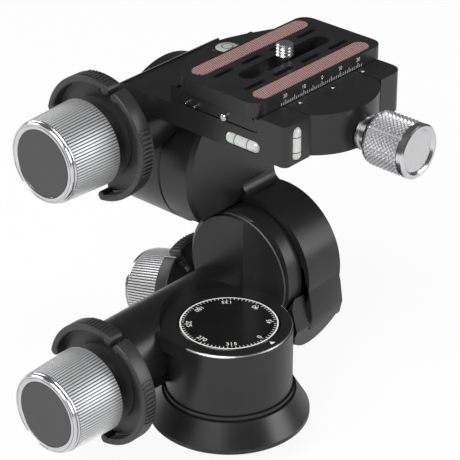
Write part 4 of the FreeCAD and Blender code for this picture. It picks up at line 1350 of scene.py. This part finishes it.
@dataclass
class EdgeHighlights:
    """Painted highlights: thin bright rings on the bevels of the black castings, standing for
    the light along their edges.
    """

    proud: float = 0.05
    width: float = 0.36
    depth: float = 0.2
    seam: Point = (0.3, 0.4, 0.86)
    drum: tuple[float, float, Point] = (23.5, 0.8, (0.0, 0.0, 38.0))
    disc: tuple[float, float, Point] = (24.0, 1.8, (22.0, 16.0, 44.0))

    def build(self) -> None:
        """Make and fasten the painted highlight rings on the rims of the drum and the fixed
        disc.
        """
        # Painted highlights: bright on the drum's bevel, and the grey of the end caps as a
        # fainter one on the disc's rim.
        self._rim("drum_edge_highlight", *self.drum, -Z, Look.CHAMFER_HIGHLIGHT)
        self._rim("disc_edge_highlight", *self.disc, X, Look.CAP)

    def _rim(self, name: str, radius: float, bevel: float, at: Point, into: Vector,
             look: Look) -> None:
        """Lay a thin ring of painted highlight on a bevel of the drum's casting.

        Args:
            name: The ring's name.
            radius: The bevel's larger radius.
            bevel: Its width.
            at: The middle of the face that the bevel runs round.
            into: The direction from there into the casting.
            look: The ring's finish.
        """
        near, far = (bevel - self.width) / 2, (bevel + self.width) / 2
        out, deep = self.proud, self.depth
        ring = [(radius - far + out, near - out), (radius - near + out, far - out),
                (radius - near - deep, far + deep), (radius - far - deep, near + deep)]
        Work.turned(name, ring + ring[:1], 144, hollow=True).move(
            aimed(Vector(at), into, Vector(self.seam))).finish(look, "pan")


@dataclass
class Studio:
    """The floor, the lamps and the camera.

    A lamp is given by its name, place, size and power. Its lengths are in metres, as are
    the floor's size and the camera's clipping.
    """

    azimuth: float = -48.3
    elevation: float = 29.0
    distance: float = 800.0
    target: Point = (0.226, -0.254, 76.67)
    lens: float = 175.7
    sensor: float = 36.0
    clip: Flat = (0.05, 20.0)
    floor_size: float = 6.0
    floor_drop: float = 0.2
    floor_glow: float = 0.93
    world_light: float = 0.11
    lamp_aim: Point = (0.0, 0.0, 0.07)
    lamps: tuple[tuple[str, Point, float, float], ...] = (
        ("key_lamp", (-1.0, -0.2, 1.2), 1.0, 25.0),
        ("fill_lamp", (0.7, -1.2, 0.6), 0.8, 12.0),
        ("rim_lamp", (-0.3, 1.4, 0.8), 0.8, 8.0))

    def build(self) -> None:
        """Make the floor, the world, the lamps and the camera."""
        low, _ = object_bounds()
        bpy.ops.object.select_all(action="DESELECT")
        bpy.ops.mesh.primitive_plane_add(size=self.floor_size,
                                         location=(0, 0, low.z - self.floor_drop * MM))
        floor = bpy.context.object
        floor.name = "studio_floor"
        floor.data.materials.append(self._paper())
        floor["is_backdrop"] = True
        self._world()
        for name, at, size, power in self.lamps:
            self._lamp(name, at, size, power)
        self._camera()

    def _paper(self) -> bpy.types.Material:
        """Build the pale floor, seen as plain white and shaded only by the head.

        Returns:
            The floor's material.
        """
        shader = Shader("Studio paper")
        path = shader.node("ShaderNodeLightPath")
        seen = Socket(shader, path.outputs["Is Camera Ray"])
        fleck = shader.noise(shader.place(), 0.02, 2.0)
        sheet = shader.node("ShaderNodeBsdfDiffuse", None, {
            "Color": shader.mix(fleck, (0.86, 0.86, 0.86), (0.90, 0.90, 0.90))})
        glow = shader.node("ShaderNodeEmission", None, {"Strength": 1.0})
        mixed = shader.node("ShaderNodeMixShader", None, {
            0: seen * self.floor_glow, 1: Socket(shader, sheet.outputs[0]),
            2: Socket(shader, glow.outputs[0])})
        out = shader.node("ShaderNodeOutputMaterial")
        shader.tree.links.new(mixed.outputs[0], out.inputs[0])
        return shader.material

    def _world(self) -> None:
        """Light from all round at a plain level, and show white to the camera."""
        world = bpy.data.worlds.new("Studio")
        world.use_nodes = True
        bpy.context.scene.world = world
        tree = world.node_tree
        tree.nodes.clear()
        path = tree.nodes.new("ShaderNodeLightPath")
        mix = tree.nodes.new("ShaderNodeMixShader")
        out = tree.nodes.new("ShaderNodeOutputWorld")
        tree.links.new(path.outputs["Is Camera Ray"], mix.inputs[0])
        for number, strength in ((1, self.world_light), (2, 1.0)):
            light = tree.nodes.new("ShaderNodeBackground")
            light.inputs[0].default_value = (1.0, 1.0, 1.0, 1.0)
            light.inputs[1].default_value = strength
            tree.links.new(light.outputs[0], mix.inputs[number])
        tree.links.new(mix.outputs[0], out.inputs[0])

    def _lamp(self, name: str, at: Point, size: float, power: float) -> None:
        """Hang a square soft lamp that faces the head.

        Args:
            name: The lamp's name.
            at: Its place, in metres.
            size: Its side, in metres.
            power: Its power, in watts.
        """
        bpy.ops.object.light_add(type="AREA", location=at)
        lamp = bpy.context.object
        lamp.name = name
        lamp.data.size = size
        lamp.data.energy = power
        ahead = Vector(self.lamp_aim) - Vector(at)
        lamp.rotation_euler = ahead.to_track_quat("-Z", "Y").to_euler()
        lamp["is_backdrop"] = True

    def _camera(self) -> None:
        """Set the camera at the photograph's place and angle."""
        turn, rise = math.radians(self.azimuth), math.radians(self.elevation)
        back = Vector((math.sin(turn) * math.cos(rise), -math.cos(turn) * math.cos(rise),
                       math.sin(rise)))
        bpy.ops.object.camera_add(location=(Vector(self.target) + back * self.distance) * MM)
        camera = bpy.context.object
        camera.name = "photo_camera"
        camera.rotation_euler = (-back).to_track_quat("-Z", "Y").to_euler()
        camera.data.lens = self.lens
        camera.data.sensor_width = self.sensor
        camera.data.clip_start, camera.data.clip_end = self.clip
        bpy.context.scene.camera = camera
        bpy.context.scene.view_settings.view_transform = "Standard"


@dataclass(frozen=True)
class Layout:
    """Where the drives run, in millimetres and degrees.

    A tube is given by a place on its middle line, a collar by its radius, its start from
    there and its length.
    """

    pan_tube: Point = (0.0, 25.2, 27.0)
    pan_collar: Point = (14.9, -42.4, 4.8)
    roll_tube: Flat = (45.0, 107.0)
    roll_tube_end: float = -10.9
    roll_collar: Flat = (13.6, 32.4)
    pitch_tube_x: float = 36.8
    pitch_collar: Point = (13.5, 32.4, 4.4)
    pitch_tilt: float = 15.0
    pitch_wheel: Point = (38.4, 16.0, 44.0)
    pitch_worm_distance: float = 20.0
    pitch_reach: float = 67.6
    pitch_lever_turn: float = 96.0

    def pitch_frame(self) -> tuple[Vector, Vector, Vector]:
        """Work out how the leaning pitch drive lies.

        Returns:
            The knob's front, the way along its shaft, and the way from wheel to worm.
        """
        tilt = math.radians(self.pitch_tilt)
        into = Vector((0, -math.cos(tilt), math.sin(tilt)))
        down = Vector((0, -math.sin(tilt), -math.cos(tilt)))
        front = Vector(self.pitch_wheel) + down * self.pitch_worm_distance
        return front - into * self.pitch_reach, into, down

    def build(self) -> None:
        """Make and fasten the three knobs, the three levers and the tubes' collars."""
        pan, roll = end_of("pan_knob", 0), end_of("roll_knob", 0)
        pitch, into, down = self.pitch_frame()
        for axis, front, ahead in (("pan", pan, X), ("roll", roll, X), ("pitch", pitch, into)):
            DriveKnob(axis, front, ahead).build()
        ReleaseLever("pan", pan, X, Y).build()
        ReleaseLever("roll", roll, X, Y).build()
        ReleaseLever("pitch", pitch, into, down, self.pitch_lever_turn).build()
        TubeCollar("pan_tube_collar", "pan", aimed(Vector(self.pan_tube), X, Z),
                   *self.pan_collar).build()
        radius, start = self.roll_collar
        TubeCollar("roll_tube_collar", "top", aimed(Vector((roll.x, *self.roll_tube)), X, Z),
                   radius, start, self.roll_tube_end - roll.x - start).build()
        TubeCollar("pitch_tube_collar", "arm",
                   aimed(Vector((self.pitch_tube_x, pitch.y, pitch.z)), into, X),
                   *self.pitch_collar).build()


def main() -> None:
    """Build every sub-assembly in order."""
    logging.basicConfig(level=logging.INFO, format="%(message)s")
    LOG.info("dressed %d CAD nodes", Paints.dress_frame())
    Layout().build()
    ArmShell().build()
    DeckShell().build()
    _, dial = corners("pan_dial")
    DegreeDial(dial.z, dial.x).build()
    low, high = corners("plate")
    PlateScale(low.x, high.x, low.y, high.z).build()
    ClampKnob(end_of("clamp_knob", 1), Y).build()
    low, high = corners("camera_screw")
    CameraScrew(under("camera_screw"), (high.x - low.x) / 2, low.z, high.z).build()
    Levels().build()
    SmallMarks().build()
    EdgeHighlights().build()
    Studio().build()


if __name__ == "__main__":
    main()
